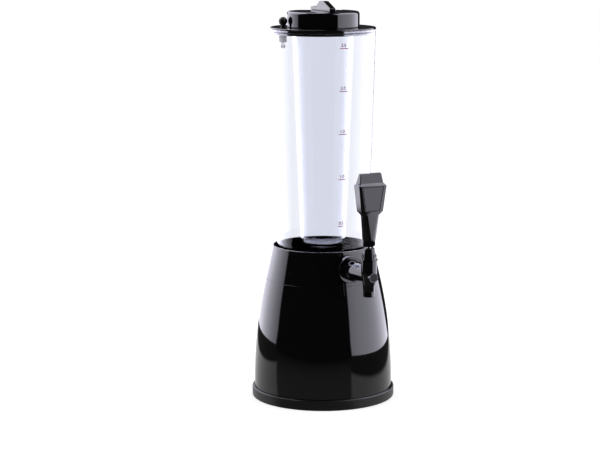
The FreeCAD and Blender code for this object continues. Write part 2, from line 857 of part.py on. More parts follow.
def make_ice_cap():
    body = new_body("ice_cap", turn=S.grip_angle)
    skirt_inner = cap_radius - S.cap_wall
    plug_outer = tube_mouth_radius - S.cap_plug_clearance
    plug_inner = plug_outer - S.cap_plug_wall
    plug_foot = seal_top - S.cap_plug_depth
    crown_bow = (cap_radius * cap_radius + S.cap_crown * S.cap_crown) / (2 * S.cap_crown)
    revolve(body, [
        (0, cap_ceiling),
        (plug_inner, cap_ceiling),
        (plug_inner, plug_foot),
        (plug_outer, plug_foot),
        (plug_outer, seal_top),
        (skirt_inner, seal_top),
        (skirt_inner, cap_foot),
        (cap_radius, cap_foot),
        (cap_radius, cap_shoulder, crown_bow, 1),
        (0, cap_crown_top),
    ])
    round_edges(body, circle_edge(cap_radius, cap_shoulder), S.cap_edge_round)
    brim_foot = cap_crown_top + S.grip_boss_height
    extrude(
        body, lambda sketch: draw_circle(sketch, 0, 0, S.grip_boss_radius),
        "XY_Plane", cap_shoulder, brim_foot - cap_shoulder)
    half = S.grip_length / 2
    hump_foot = S.grip_hump_foot / 2
    hump_top = S.grip_hump_top / 2
    brim_top = brim_foot + S.grip_brim
    extrude(
        body,
        lambda sketch: draw_outline(sketch, [
            (-half, brim_foot),
            (half, brim_foot),
            (half, brim_top),
            (hump_foot, brim_top),
            (hump_top, brim_top + S.grip_rise),
            (-hump_top, brim_top + S.grip_rise),
            (-hump_foot, brim_top),
            (-half, brim_top),
        ]),
        "XZ_Plane", -S.grip_thickness / 2, S.grip_thickness)

    def above_the_brim_foot(edge):
        lowest = min(corner.Z for corner in edge.Vertexes)
        return len(edge.Vertexes) == 2 and lowest > brim_foot.value + S.grip_round.value / 2

    round_edges(body, above_the_brim_foot, S.grip_round)


# ---------------------------------------------------------------- vent

def vent_place():
    """Where the vent stands on the lid, in the tower's frame."""
    radius, angle = vent_circle_radius, S.vent_angle
    turned = math.radians(angle.value)
    x = Measure(radius.value * math.cos(turned), f"({radius.text} * cos({angle.text} * 1deg))")
    y = Measure(radius.value * math.sin(turned), f"({radius.text} * sin({angle.text} * 1deg))")
    return x, y


def vent_body(label):
    x, y = vent_place()
    return new_body(label, x=x, y=y, turn=S.vent_angle)


def make_vent_bush():
    body = vent_body("vent_bush")
    bore = S.vent_stem_radius + S.vent_clearance
    revolve(body, [
        (bore, vent_bush_foot),
        (S.vent_bush_radius, vent_bush_foot),
        (S.vent_bush_radius, tank_top),
        (vent_neck_radius, tank_top),
        (vent_neck_radius, lid_top),
        (bore, lid_top),
    ])


def make_vent_pin():
    body = vent_body("vent_pin")
    stem = S.vent_stem_radius
    barb = S.vent_barb
    leg_foot = vent_bush_foot - S.vent_leg_length
    ball_height = lid_top + S.vent_ball_lift
    half_groove = S.vent_ring_radius + S.vent_ring_slack
    groove = stem - 2 * half_groove
    revolve(body, [
        (0, leg_foot),
        (stem - barb, leg_foot),
        (stem + barb, leg_foot + S.vent_leg_length / 3),
        (stem - barb, leg_foot + S.vent_leg_length / 2),
        (stem - S.vent_waist, vent_bush_foot),
        (stem, vent_bush_foot + barb),
        (stem, vent_ring_height - half_groove),
        (groove, vent_ring_height - half_groove),
        (groove, vent_ring_height + half_groove),
        (stem, vent_ring_height + half_groove),
        (stem, ball_height),
        (0, ball_height),
    ])
    ball(body, S.vent_ball_radius, ball_height)
    half = S.vent_leg_gap / 2
    wide = S.vent_bush_radius
    extrude(
        body,
        lambda sketch: draw_outline(sketch, rectangle(
            -half, half, leg_foot - S.overcut, vent_bush_foot - barb)),
        "XZ_Plane", -wide, wide * 2, cut=True)


def make_vent_ring():
    body = vent_body("vent_ring")
    radius = S.vent_ring_radius
    sketch = sketch_on(body, "XZ_Plane")
    draw_circle(sketch, S.vent_stem_radius - radius, vent_ring_height, radius)
    feature = body.newObject("PartDesign::Revolution", "Ring")
    feature.Profile = sketch
    feature.ReferenceAxis = (sketch, ["V_Axis"])
    feature.Angle = 360
    finish_feature(body, feature, False)


# ---------------------------------------------------------------- tap, along the tap axis

def make_outer_gasket():
    body = tap_axis_body("outer_gasket")
    reach = S.outer_gasket_radius
    low, high = tap_height - reach, tap_height + reach
    root = inside_chord(tank_radius_at(low), reach) - S.overcut
    revolve(body, rectangle(
        S.shank_radius + S.gasket_slack, reach, root, boss_root))
    # its inner face is cut to the cone of the tank's outside
    revolve(body, [
        (0, -reach),
        (tank_radius_at(low) + S.gasket_slack, -reach),
        (tank_radius_at(high) + S.gasket_slack, reach),
        (0, reach),
    ], cut=True, plane="XY_Plane")


def make_inner_gasket():
    body = tap_axis_body("inner_gasket")
    reach = S.inner_gasket_radius
    low, high = tap_height - reach, tap_height + reach
    shift = S.tank_wall + S.gasket_slack
    far = tank_radius_at(high) + reach
    revolve(body, rectangle(
        S.shank_radius + S.gasket_slack, reach, lock_nut_face, tank_radius_at(tap_height)))
    # its outer face is cut to the cone of the tank's inside
    revolve(body, [
        (far, -reach),
        (far, reach),
        (tank_radius_at(high) - shift, reach),
        (tank_radius_at(low) - shift, -reach),
    ], cut=True, plane="XY_Plane")


def make_lock_nut():
    body = tap_axis_body("lock_nut")
    hub = nut_bore_radius + S.lock_nut_hub
    flange = lock_nut_face - S.lock_nut_flange
    revolve(body, [
        (nut_bore_radius, lock_nut_end),
        (hub, lock_nut_end),
        (hub, flange),
        (S.lock_nut_radius, flange),
        (S.lock_nut_radius, lock_nut_face),
        (nut_bore_radius, lock_nut_face),
    ])
    half = S.rib_thickness / 2
    wing = extrude(
        body,
        lambda sketch: draw_outline(sketch, rectangle(
            hub - S.lock_nut_hub / 2, S.lock_nut_radius - S.lock_nut_wing_inset, -half, half)),
        "XY_Plane", lock_nut_end, S.lock_nut_length)
    repeat_round(body, [wing], S.lock_nut_wings)


def make_escutcheon():
    body = tap_axis_body("escutcheon")
    revolve(body, rectangle(shank_hole_radius, S.escutcheon_radius, boss_face, jam_nut_foot))
    round_edges(
        body, circle_edge(S.escutcheon_radius, jam_nut_foot), S.escutcheon_round)


def make_jam_nut():
    body = tap_axis_body("jam_nut")
    end = tail_root - S.thread_clearance
    radius = S.jam_nut_radius
    revolve(body, [
        (nut_bore_radius, jam_nut_foot),
        (radius, jam_nut_foot),
        (radius, end - S.jam_nut_bevel),
        (radius - S.jam_nut_bevel, end),
        (nut_bore_radius, end),
    ])
    half = S.jam_nut_slot_width / 2
    slot = extrude(
        body,
        lambda sketch: draw_outline(sketch, rectangle(
            radius - S.jam_nut_slot_depth, radius + S.overcut, -half, half)),
        "XY_Plane", jam_nut_foot + S.jam_nut_land, S.jam_nut_length, cut=True)
    repeat_round(body, [slot], S.jam_nut_slots, cut=True)


def make_tap_body():
    body = tap_axis_body("tap_body")
    tail_tip = tap_reach - S.column_waist_radius / 2
    tail_root_radius = S.shank_radius + S.tail_collar_step
    # shank, tail and front stub, turned about the tap axis
    revolve(body, [
        (0, shank_inner_end),
        (S.shank_radius, shank_inner_end),
        (S.shank_radius, tail_root),
        (tail_root_radius, tail_root),
        (tail_root_radius, tail_root + S.tail_collar_width),
        (S.tail_tip_radius, tail_tip),
        (S.stub_radius, tail_tip),
        (S.stub_radius, stub_end),
        (0, stub_end),
    ])
    # column and spout, turned about the upright axis at the tap's reach
    lip_radius = S.column_radius + S.column_lip
    up = -tap_height
    revolve(body, [
        (0, spout_tip + up),
        (S.spout_tip_radius, spout_tip + up),
        (S.spout_shoulder_radius, spout_tip + S.spout_shoulder_rise + up),
        (S.column_waist_radius, S.column_waist_rise),
        (S.column_radius, lip_foot + up),
        (lip_radius, lip_foot + up),
        (lip_radius, column_top + up),
        (0, column_top + up),
    ], plane="XY_Plane", offset=tap_reach)
    # spout bore, funnel, chamber and the socket for the bonnet
    revolve(body, [
        (0, spout_tip + up - S.overcut),
        (S.spout_bore_radius, spout_tip + up - S.overcut),
        (S.spout_bore_radius, chamber_foot + up),
        (S.chamber_radius, chamber_foot + S.chamber_funnel + up),
        (S.chamber_radius, bonnet_bore_foot + up),
        (S.bonnet_bore_radius, bonnet_bore_foot + up),
        (S.bonnet_bore_radius, column_top + up + S.overcut),
        (0, column_top + up + S.overcut),
    ], cut=True, plane="XY_Plane", offset=tap_reach)
    # inlet, seat and passage, then the socket of the front plug
    seat_end = seat_position + S.seat_length
    passage = S.seat_bore_radius + S.passage_step
    plug_socket = S.stub_radius - S.front_plug_wall
    revolve(body, [
        (0, shank_inner_end - S.overcut),
        (shank_bore_radius, shank_inner_end - S.overcut),
        (shank_bore_radius, seat_position),
        (S.seat_bore_radius, seat_position),
        (S.seat_bore_radius, seat_end),
        (passage, seat_end),
        (passage, tap_reach),
        (plug_socket, tap_reach),
        (plug_socket, stub_end + S.overcut),
        (0, stub_end + S.overcut),
    ], cut=True)


def make_front_plug():
    body = tap_axis_body("front_plug")
    outer = S.stub_radius - S.front_plug_wall - S.screw_clearance
    guide = S.plunger_radius + S.plunger_guide_clearance
    revolve(body, [
        (guide, stub_end - S.front_plug_length),
        (outer, stub_end - S.front_plug_length),
        (outer, stub_end),
        (0, stub_end),
        (0, stub_end - S.front_plug_wall),
        (guide, stub_end - S.front_plug_wall),
    ])


# ---------------------------------------------------------------- plunger

def make_plunger():
    body = tap_axis_body("plunger")
    core = S.plunger_core_radius
    block_back = tap_reach - S.plunger_block_half
    block_front = tap_reach + S.plunger_block_half
    pilot_end = stub_end - S.front_plug_wall - S.plunger_tip_gap
    revolve(body, [
        (0, washer_back - S.washer_nut_length),
        (core, washer_back - S.washer_nut_length),
        (core, block_back),
        (S.plunger_block_radius, block_back),
        (S.plunger_block_radius, block_front),
        (S.plunger_radius, block_front),
        (S.plunger_radius, pilot_end),
        (0, pilot_end),
    ])
    wing_radius = S.seat_bore_radius - S.plunger_wing_clearance
    half_wing = S.plunger_wing_thickness / 2
    wing = extrude(
        body,
        lambda sketch: draw_outline(sketch, rectangle(
            core / 2, wing_radius, -half_wing, half_wing)),
        "XY_Plane", washer_face, block_back - washer_face)
    repeat_round(body, [wing], S.plunger_wings)
    # the eye for the lever's tip, sunk from above
    eye_foot = S.lever_tip_rise - S.lever_tip_radius - S.plunger_eye_slack
    eye_top = S.plunger_block_radius + S.overcut
    extrude(
        body, lambda sketch: draw_circle(sketch, 0, tap_reach, S.plunger_eye_radius),
        "XZ_Plane", -eye_top, eye_top - eye_foot, cut=True)


def make_seat_washer():
    body = tap_axis_body("seat_washer")
    bore = S.plunger_core_radius + S.screw_clearance
    revolve(body, rectangle(bore, S.seat_washer_radius, washer_back, washer_face))


def make_washer_nut():
    body = tap_axis_body("washer_nut")
    bore = S.plunger_core_radius + S.screw_clearance
    revolve(body, rectangle(
        bore, S.washer_nut_radius, washer_back - S.washer_nut_length, washer_back))


# ---------------------------------------------------------------- bonnet, lever and handle

def make_ball_seat():
    body = tap_column_body("ball_seat")
    slack = S.thread_clearance
    flange = S.bonnet_bore_radius - slack
    skirt = S.bonnet_skirt_bore - slack
    sleeve = bonnet_bore - slack
    throat = S.ball_seat_throat
    rim = pivot_height - S.socket_gap
    revolve(body, [
        (throat + S.ball_seat_flare, bonnet_bore_foot),
        (flange, bonnet_bore_foot),
        (flange, ball_seat_top),
        (skirt, ball_seat_top),
        (skirt, skirt_step_height - slack),
        (sleeve, skirt_step_height - slack),
        (sleeve, rim),
        (inside_chord(socket_radius, S.socket_gap), rim, socket_radius, -1),
        (throat, pivot_height - inside_chord(socket_radius, throat)),
        (throat, pivot_height - S.ball_seat_flare_drop),
    ])


def make_bonnet():
    body = tap_column_body("bonnet")
    skirt = S.bonnet_bore_radius - S.thread_clearance
    throat = S.bonnet_throat_radius
    slack = S.socket_clearance
    revolve(body, [
        (S.bonnet_skirt_bore, ball_seat_top),
        (skirt, ball_seat_top),
        (skirt, column_top),
        (S.bonnet_foot_radius, column_top),
        (S.bonnet_top_radius, bonnet_top),
        (S.bonnet_mouth_radius, bonnet_top),
        (throat, pivot_height + inside_chord(socket_radius, throat), socket_radius, -1),
        (inside_chord(socket_radius, slack), pivot_height + slack),
        (bonnet_bore, pivot_height + slack),
        (bonnet_bore, skirt_step_height),
        (S.bonnet_skirt_bore, skirt_step_height),
    ])
    half = S.bonnet_rib_width / 2
    rib = extrude(
        body,
        lambda sketch: draw_outline(sketch, rectangle(
            S.bonnet_foot_radius - S.bonnet_wall, S.bonnet_foot_radius, -half, half)),
        "XY_Plane", column_top, S.bonnet_rib_height)
    repeat_round(body, [rib], S.bonnet_ribs)


def make_lever():
    body = tap_column_body("lever")
    revolve(body, [
        (0, lever_tip_height),
        (S.lever_foot_radius, lever_tip_height),
        (S.lever_foot_radius, pivot_height),
        (S.lever_neck_radius, pivot_height),
        (S.lever_neck_radius, lever_thread_foot),
        (S.lever_thread_radius, lever_thread_foot),
        (S.lever_thread_radius, lever_top),
        (0, lever_top),
    ])
    ball(body, S.ball_radius, pivot_height)
    ball(body, S.lever_tip_radius, lever_tip_height)


def make_collar_nut():
    body = tap_column_body("collar_nut")
    flats = S.collar_nut_flats / 2
    half_side = flats / Measure(math.sqrt(3), "sqrt(3)")
    extrude(
        body,
        lambda sketch: draw_outline(sketch, [
            (flats, -half_side),
            (flats, half_side),
            (0, half_side * 2),
            (-flats, half_side),
            (-flats, -half_side),
            (0, half_side * -2),
        ]),
        "XY_Plane", collar_nut_foot, S.collar_nut_height)
    # turned corners: what lies outside a cone at each end is cut away
    outside = half_side * 2 + S.overcut
    drop = (outside - flats) * S.collar_nut_corner / (half_side * 2 - flats)
    revolve(body, [
        (flats, collar_nut_foot),
        (flats, collar_nut_foot - S.overcut),
        (outside, collar_nut_foot - S.overcut),
        (outside, collar_nut_foot + drop),
    ], cut=True)
    revolve(body, [
        (flats, collar_nut_top),
        (outside, collar_nut_top - drop),
        (outside, collar_nut_top + S.overcut),
        (flats, collar_nut_top + S.overcut),
    ], cut=True)
    extrude(
        body,
        lambda sketch: draw_circle(sketch, 0, 0, S.lever_thread_radius + S.insert_clearance),
        "XY_Plane", collar_nut_foot, S.collar_nut_height, cut=True)


def make_handle_insert():
    body = tap_column_body("handle_insert")
    revolve(body, rectangle(
        S.lever_thread_radius + S.insert_clearance, insert_radius,
        handle_foot + S.insert_foot_gap, lever_top))


def make_handle():
    body = tap_column_body("handle", z=handle_foot)
    neck = S.handle_neck_length
    paddle_foot = neck + S.paddle_flare_length
    paddle_wide = paddle_foot + S.paddle_length
    stations = [
        (NOTHING, S.handle_foot_width, S.handle_foot_depth, S.handle_foot_front),
        (neck, S.handle_neck_width, S.handle_neck_depth, S.handle_neck_front),
        (paddle_foot, S.paddle_foot_width, S.paddle_foot_depth, S.paddle_foot_front),
        (paddle_wide, S.paddle_wide_width, S.paddle_wide_depth, S.paddle_wide_front),
        (paddle_wide + S.paddle_roof_length,
         S.paddle_top_width, S.paddle_top_depth, S.paddle_top_front),
    ]
    sections = []
    for height, width, depth, front in stations:
        sketch = sketch_on(body, "XY_Plane", height)
        draw_outline(sketch, rectangle(-width / 2, width / 2, -front, depth - front))
        sections.append(sketch)
    loft(body, sections)
    # raised front panel with bevelled sides
    low_half = S.paddle_foot_width / 2 - S.panel_margin
    high_half = S.paddle_wide_width / 2 - S.panel_margin
    layers = [
        (S.paddle_foot_front - S.panel_root, NOTHING, NOTHING, NOTHING),
        (S.paddle_wide_front, NOTHING, NOTHING, NOTHING),
        (S.paddle_wide_front + S.panel_rise,
         S.panel_bevel, S.panel_foot_bevel, S.panel_top_bevel),
    ]
    panel = []
    for front, side, foot, top in layers:
        sketch = sketch_on(body, "XZ_Plane", front)
        draw_outline(sketch, [
            (-low_half + side, paddle_foot + foot),
            (low_half - side, paddle_foot + foot),
            (high_half - side, paddle_wide - top),
            (-high_half + side, paddle_wide - top),
        ])
        panel.append(sketch)
    loft(body, panel)
    extrude(
        body,
        lambda sketch: draw_circle(sketch, 0, 0, insert_radius + S.insert_clearance),
        "XY_Plane", 0, S.insert_depth + S.insert_foot_gap, cut=True)


# ---------------------------------------------------------------- build, check and write

for make in (
        make_base_plate, make_anti_slip_pad, make_base_screws, make_pedestal_shell,
        make_collar_shell, make_tank, make_lid, make_lid_seal, make_ice_tube, make_cap_seal,
        make_ice_cap, make_vent_bush, make_vent_pin, make_vent_ring, make_outer_gasket,
        make_inner_gasket, make_lock_nut, make_escutcheon, make_jam_nut, make_tap_body,
        make_front_plug, make_plunger, make_seat_washer, make_washer_nut, make_ball_seat,
        make_bonnet, make_lever, make_collar_nut, make_handle_insert, make_handle):
    make()

doc.recompute()
faults = []
for item in doc.Objects:
    if "Invalid" in item.State or "Error" in item.State:
        faults.append(f"{item.Label}: {item.State}")
for body in sub_parts:
    if body.Shape.isNull() or not body.Shape.isValid() or not body.Shape.Solids:
        faults.append(f"{body.Label}: its shape is not a valid solid")
if faults:
    raise RuntimeError("; ".join(faults))

os.makedirs("parts", exist_ok=True)
for body in sub_parts:
    body.Shape.exportStep(f"parts/{body.Label}.step")
    box = body.Shape.BoundBox
    print(f"{body.Label}: {len(body.Shape.Solids)} solid(s), {body.Shape.Volume:.0f} mm3, "
          f"z {box.ZMin:.1f} to {box.ZMax:.1f}")
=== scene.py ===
import math

import bmesh
import bpy
from bpy.props import FloatProperty, FloatVectorProperty, IntProperty, PointerProperty
from bpy.types import Operator, Panel, PropertyGroup
from mathutils import Matrix, Vector


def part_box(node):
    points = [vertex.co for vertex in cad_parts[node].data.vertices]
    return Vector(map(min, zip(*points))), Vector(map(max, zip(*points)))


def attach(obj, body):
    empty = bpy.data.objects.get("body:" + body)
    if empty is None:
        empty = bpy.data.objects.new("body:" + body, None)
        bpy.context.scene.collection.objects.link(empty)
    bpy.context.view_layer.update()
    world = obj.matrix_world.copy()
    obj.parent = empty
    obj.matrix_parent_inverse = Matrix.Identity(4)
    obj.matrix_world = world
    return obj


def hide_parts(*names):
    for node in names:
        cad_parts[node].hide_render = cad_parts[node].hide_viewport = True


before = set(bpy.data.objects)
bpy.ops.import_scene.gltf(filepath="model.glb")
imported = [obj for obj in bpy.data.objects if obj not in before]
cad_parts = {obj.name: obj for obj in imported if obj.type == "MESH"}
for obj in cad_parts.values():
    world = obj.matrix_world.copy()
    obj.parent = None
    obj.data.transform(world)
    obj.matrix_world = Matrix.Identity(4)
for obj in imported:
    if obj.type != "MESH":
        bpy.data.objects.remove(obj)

bl_info = {
    "name": "Drinks tower dispenser",
    "version": (1, 0, 0),
    "blender": (4, 5, 0),
    "location": "3D View > Sidebar > Drinks tower",
    "description": "Dresses the solids of a table-top drinks tower with its finished pieces",
    "category": "Object",
}

FULL_TURN = 2 * math.pi
MILLIMETRE = 0.001
# The rounding that a mould leaves on an edge that is meant to be sharp.
FINE = 0.0003

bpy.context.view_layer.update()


# ---------------------------------------------------------------- sizes and settings


def foot_of(node):
    """Lowest height of a solid."""
    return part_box(node)[0].z


def top_of(node):
    """Greatest height of a solid."""
    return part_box(node)[1].z


def radius_of(node):
    """Greatest distance of a solid from the tower's axis."""
    return max(vertex.co.xy.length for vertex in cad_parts[node].data.vertices)


def radius_about_tap(node):
    """Radius of a round part of the tap about the tap's axis."""
    low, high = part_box(node)
    return (high.x - low.x) / 2


def front_of(node):
    """How far a solid comes forward of the tower's axis."""
    return -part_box(node)[0].y


def linear(code, alpha=1.0):
    """Turns an sRGB hex colour into the linear values that the shaders use."""
    channels = [int(code[place:place + 2], 16) / 255 for place in (1, 3, 5)]
    return tuple(
        c / 12.92 if c <= 0.04045 else ((c + 0.055) / 1.055) ** 2.4 for c in channels
    ) + (alpha,)


def number(name, description, default, **kind):
    """A number in the panel."""
    return FloatProperty(name=name, description=description, default=default, **kind)


def length(name, description, default):
    """A size in metres that the panel shows with its unit."""
    return number(name, description, default, unit="LENGTH")


def angle(name, description, degrees):
    """A direction that the panel shows in degrees."""
    return number(name, description, math.radians(degrees), subtype="ANGLE")


def colour(name, description, code):
    """A colour that the panel shows as a swatch."""
    return FloatVectorProperty(
        name=name, description=description, default=linear(code), size=4,
        subtype="COLOR", min=0, max=1)


class HousingSizes(PropertyGroup):
    """Sizes of the pedestal and the collar."""

    shell_foot: length("Shell foot", "Radius of the pedestal at its foot", 0.0868)
    shell_foot_height: length("Foot height", "Where the pedestal stands in the base", 0.011)
    bow: length("Bow", "Radius of the pedestal wall's outward bow", 0.58)
    wall: length("Wall", "Thickness of the moulded housings", 0.0024)
    seam: length("Seam", "Height of the seam under the collar", 0.152)
    seam_radius: length("Seam radius", "Radius of both housings at the seam", 0.07236)
    seam_bevel: length("Seam bevel", "Bevel on each side of the seam", 0.0003)
    rim: length("Rim", "Height of the collar's rim", 0.194)
    rim_radius: length("Rim radius", "Radius of the collar's rim", 0.06296)
    rim_round: length("Rim round", "Rounding of the moulded rims", 0.0008)
    floor: length("Collar floor", "Height at which the tank stands", 0.1485)
    floor_hole: length("Floor hole", "Radius of the opening in the collar's floor", 0.0302)
    boss: length("Tap boss", "Radius of the round pad that the tap is fixed to", 0.0166)
    boss_front: length("Boss front", "Distance of that pad's face from the axis", 0.07296)
    screw_circle: length("Screw circle", "Radius on which the screw bosses stand", 0.076)
    screws: IntProperty(name="Screws", description="Number of screw bosses", default=4)


class VesselSizes(PropertyGroup):
    """Sizes of the tank and the ice tube."""

    tank_foot: length("Tank foot", "Height of the tank's foot", foot_of("tank"))
    tank_top: length("Tank top", "Height of the tank's mouth", top_of("tank"))
    tank_foot_radius: length("Tank foot radius", "Outer radius at the foot", 0.0562)
    tank_top_radius: length("Tank top radius", "Outer radius at the mouth", 0.0657)
    tank_wall: length("Tank wall", "Thickness of the clear wall", 0.002)
    tank_floor: length("Tank floor", "Thickness of the clear floor", 0.003)
    tube_foot: length("Tube foot", "Height of the ice tube's foot", foot_of("ice_tube"))
    tube_foot_radius: length("Tube foot radius", "Outer radius at the foot", 0.028)
    tube_neck_radius: length("Tube neck radius", "Outer radius in the lid's neck", 0.0383)
    tube_wall: length("Tube wall", "Thickness of the tube's wall", 0.002)
    tube_dish: length("Tube dish", "How far the tube's rounded foot rises to its side", 0.007)
    tube_bowl: length("Tube bowl", "Radius of the curve of that foot", 0.0595)
    mark_turn: angle("Mark turn", "Where the scale stands round the tank", -3.2)
    mark_width: length("Mark width", "Width of a scale line", 0.011)
    mark_line: length("Mark line", "Thickness of a scale line", 0.0009)
    figure_height: length("Figure height", "Height of the scale's numbers", 0.0038)


class LidSizes(PropertyGroup):
    """Sizes of the lid, the screw cap and the air vent."""

    flange: length("Flange", "Radius of the lid", radius_of("lid"))
    thickness: length("Thickness", "Thickness of the lid's flange", 0.0022)
    skirt: length("Skirt", "Outer radius of the skirt in the tank's mouth", 0.0632)
    skirt_wall: length("Skirt wall", "Thickness of that skirt", 0.002)
    neck_inner: length("Neck bore", "Inner radius of the lid's neck", 0.0389)
    neck_outer: length("Neck", "Outer radius of the lid's neck", 0.0415)
    cap: length("Cap", "Radius of the screw cap", radius_of("ice_cap"))
    cap_wall: length("Cap wall", "Thickness of the cap's skirt", 0.0022)
    cap_round: length("Cap round", "Rounding of the cap's shoulder", 0.0036)
    cap_shoulder: length("Cap shoulder", "Height of the cap's shoulder", 0.4872)
    cap_crown: length("Cap crown", "Height of the crown's middle", 0.488)
    grip_length: length("Grip length", "Length of the bar on the cap", 0.065)
    grip_width: length("Grip width", "Thickness of that bar", 0.008)
    grip_brim: length("Grip brim", "Height of the bar at its ends", 0.0042)
    grip_turn: angle("Grip turn", "Direction of the bar", -95)
    vent_turn: angle("Vent turn", "Where the vent stands on the lid", -189)
    vent_circle: length("Vent circle", "Distance of the vent from the axis", 0.0518)
    vent_ball: length("Vent ball", "Radius of the vent's ball", 0.0054)


class TapSizes(PropertyGroup):
    """Sizes of the tap and its handle."""

    height: length(
        "Tap height", "Height of the tap's axis",
        (foot_of("escutcheon") + top_of("escutcheon")) / 2)
    reach: length("Reach", "Distance of the column from the tower's axis", 0.123963)
    shank_bore: length("Shank bore", "Radius of the holes that the shank goes through", 0.0104)
    pivot: length("Pivot", "Height of the lever's ball", 0.199)
    edge: length("Handle edge", "Rounding of the handle's edges", 0.0004)
    face_lean: angle("Face lean", "How far the front leans back beside its panel", 9)
    hexagon_turn: angle("Hexagon turn", "Direction of the hexagon's flats", 26)


class Finishes(PropertyGroup):
    """Colours of the materials."""

    gloss_black: colour("Gloss black", "Polished moulded ABS of the housings", "#050405")
    satin_black: colour("Satin black", "Textured ABS of the base", "#131111")
    pad_black: colour("Pad", "Rubber of the anti-slip pad", "#1C1B1B")
    tap_black: colour("Tap black", "Polished ABS of the tap", "#060506")
    handle_black: colour("Handle", "Satin ABS of the handle", "#0C0B0C")
    clear: colour("Clear", "Tint of the clear styrene", "#FAFBFF")
    bush_white: colour("Bush", "Natural polypropylene of the vent bush", "#E6E8E8")
    mark_red: colour("Marks", "Printed scale lines", "#8A2446")
    figure_grey: colour("Figures", "Printed scale numbers", "#6E3450")
    seal: colour("Seal", "Silicone of the seals", "#343436")


class StudioSettings(PropertyGroup):
    """The light around the object."""

    gloss: number("Gloss light", "Scales what gloss shows of the studio", 1.0)
    fill: number("Fill", "Even light on matt surfaces", 0.7)
    veil: number("Veil", "How white the background is through clear plastic", 1.03)
    lamp: number("Lamps", "Power of each lamp", 22, unit="POWER")
    sheet: length("Sheet", "Half the width of the white sheet under the tower", 0.3125)
    sheet_slant: number("Sheet slant", "How fast the sheet narrows to the back", 0.1875)
    mat: length("Mat", "Radius of the dark mat round the sheet", 0.755)
    wall: length("Wall", "Radius of the studio's round wall", 3.0)


def tower():
    """All the settings."""
    return bpy.context.scene.drinks_tower


# ---------------------------------------------------------------- materials


def add_node(tree, kind, inputs=None, **settings):
    """Adds a node. Its inputs are values, sockets, or nodes, which give their first output."""
    node = tree.nodes.new(kind)
    for name, value in settings.items():
        setattr(node, name, value)
    for socket, value in (inputs or {}).items():
        if isinstance(value, bpy.types.Node):
            value = value.outputs[0]
        if isinstance(value, bpy.types.NodeSocket):
            tree.links.new(value, node.inputs[socket])
        else:
            node.inputs[socket].default_value = value
    return node


def new_material(name):
    """A material without nodes."""
    material = bpy.data.materials.new(name)
    material.use_nodes = True
    material.node_tree.nodes.clear()
    return material


def substance(name, base, roughness, more, grain=0, depth=0, detail=2.0, absorption=0):
    """A material of one substance.

    Grain and depth, in millimetres, give its surface a relief. The absorption is how fast
    light fades in its body, for each metre."""
    material = new_material(name)
    tree = material.node_tree
    inputs = {"Base Color": base, "Roughness": roughness, **more}
    if grain:
        place = add_node(tree, "ShaderNodeTexCoord").outputs["Object"]
        # Noise repeats about once in 1 / scale metres, so the scale comes from the grain.
        noise = add_node(
            tree, "ShaderNodeTexNoise",
            {"Vector": place, "Scale": 1 / (grain * MILLIMETRE), "Detail": detail})
        inputs["Normal"] = add_node(
            tree, "ShaderNodeBump",
            {"Height": noise, "Strength": 1.0, "Distance": depth * MILLIMETRE})
    result = {"Surface": add_node(tree, "ShaderNodeBsdfPrincipled", inputs)}
    if absorption:
        result["Volume"] = add_node(
            tree, "ShaderNodeVolumeAbsorption",
            {"Color": (0, 0, 0, 1), "Density": absorption})
    add_node(tree, "ShaderNodeOutputMaterial", result)
    return material


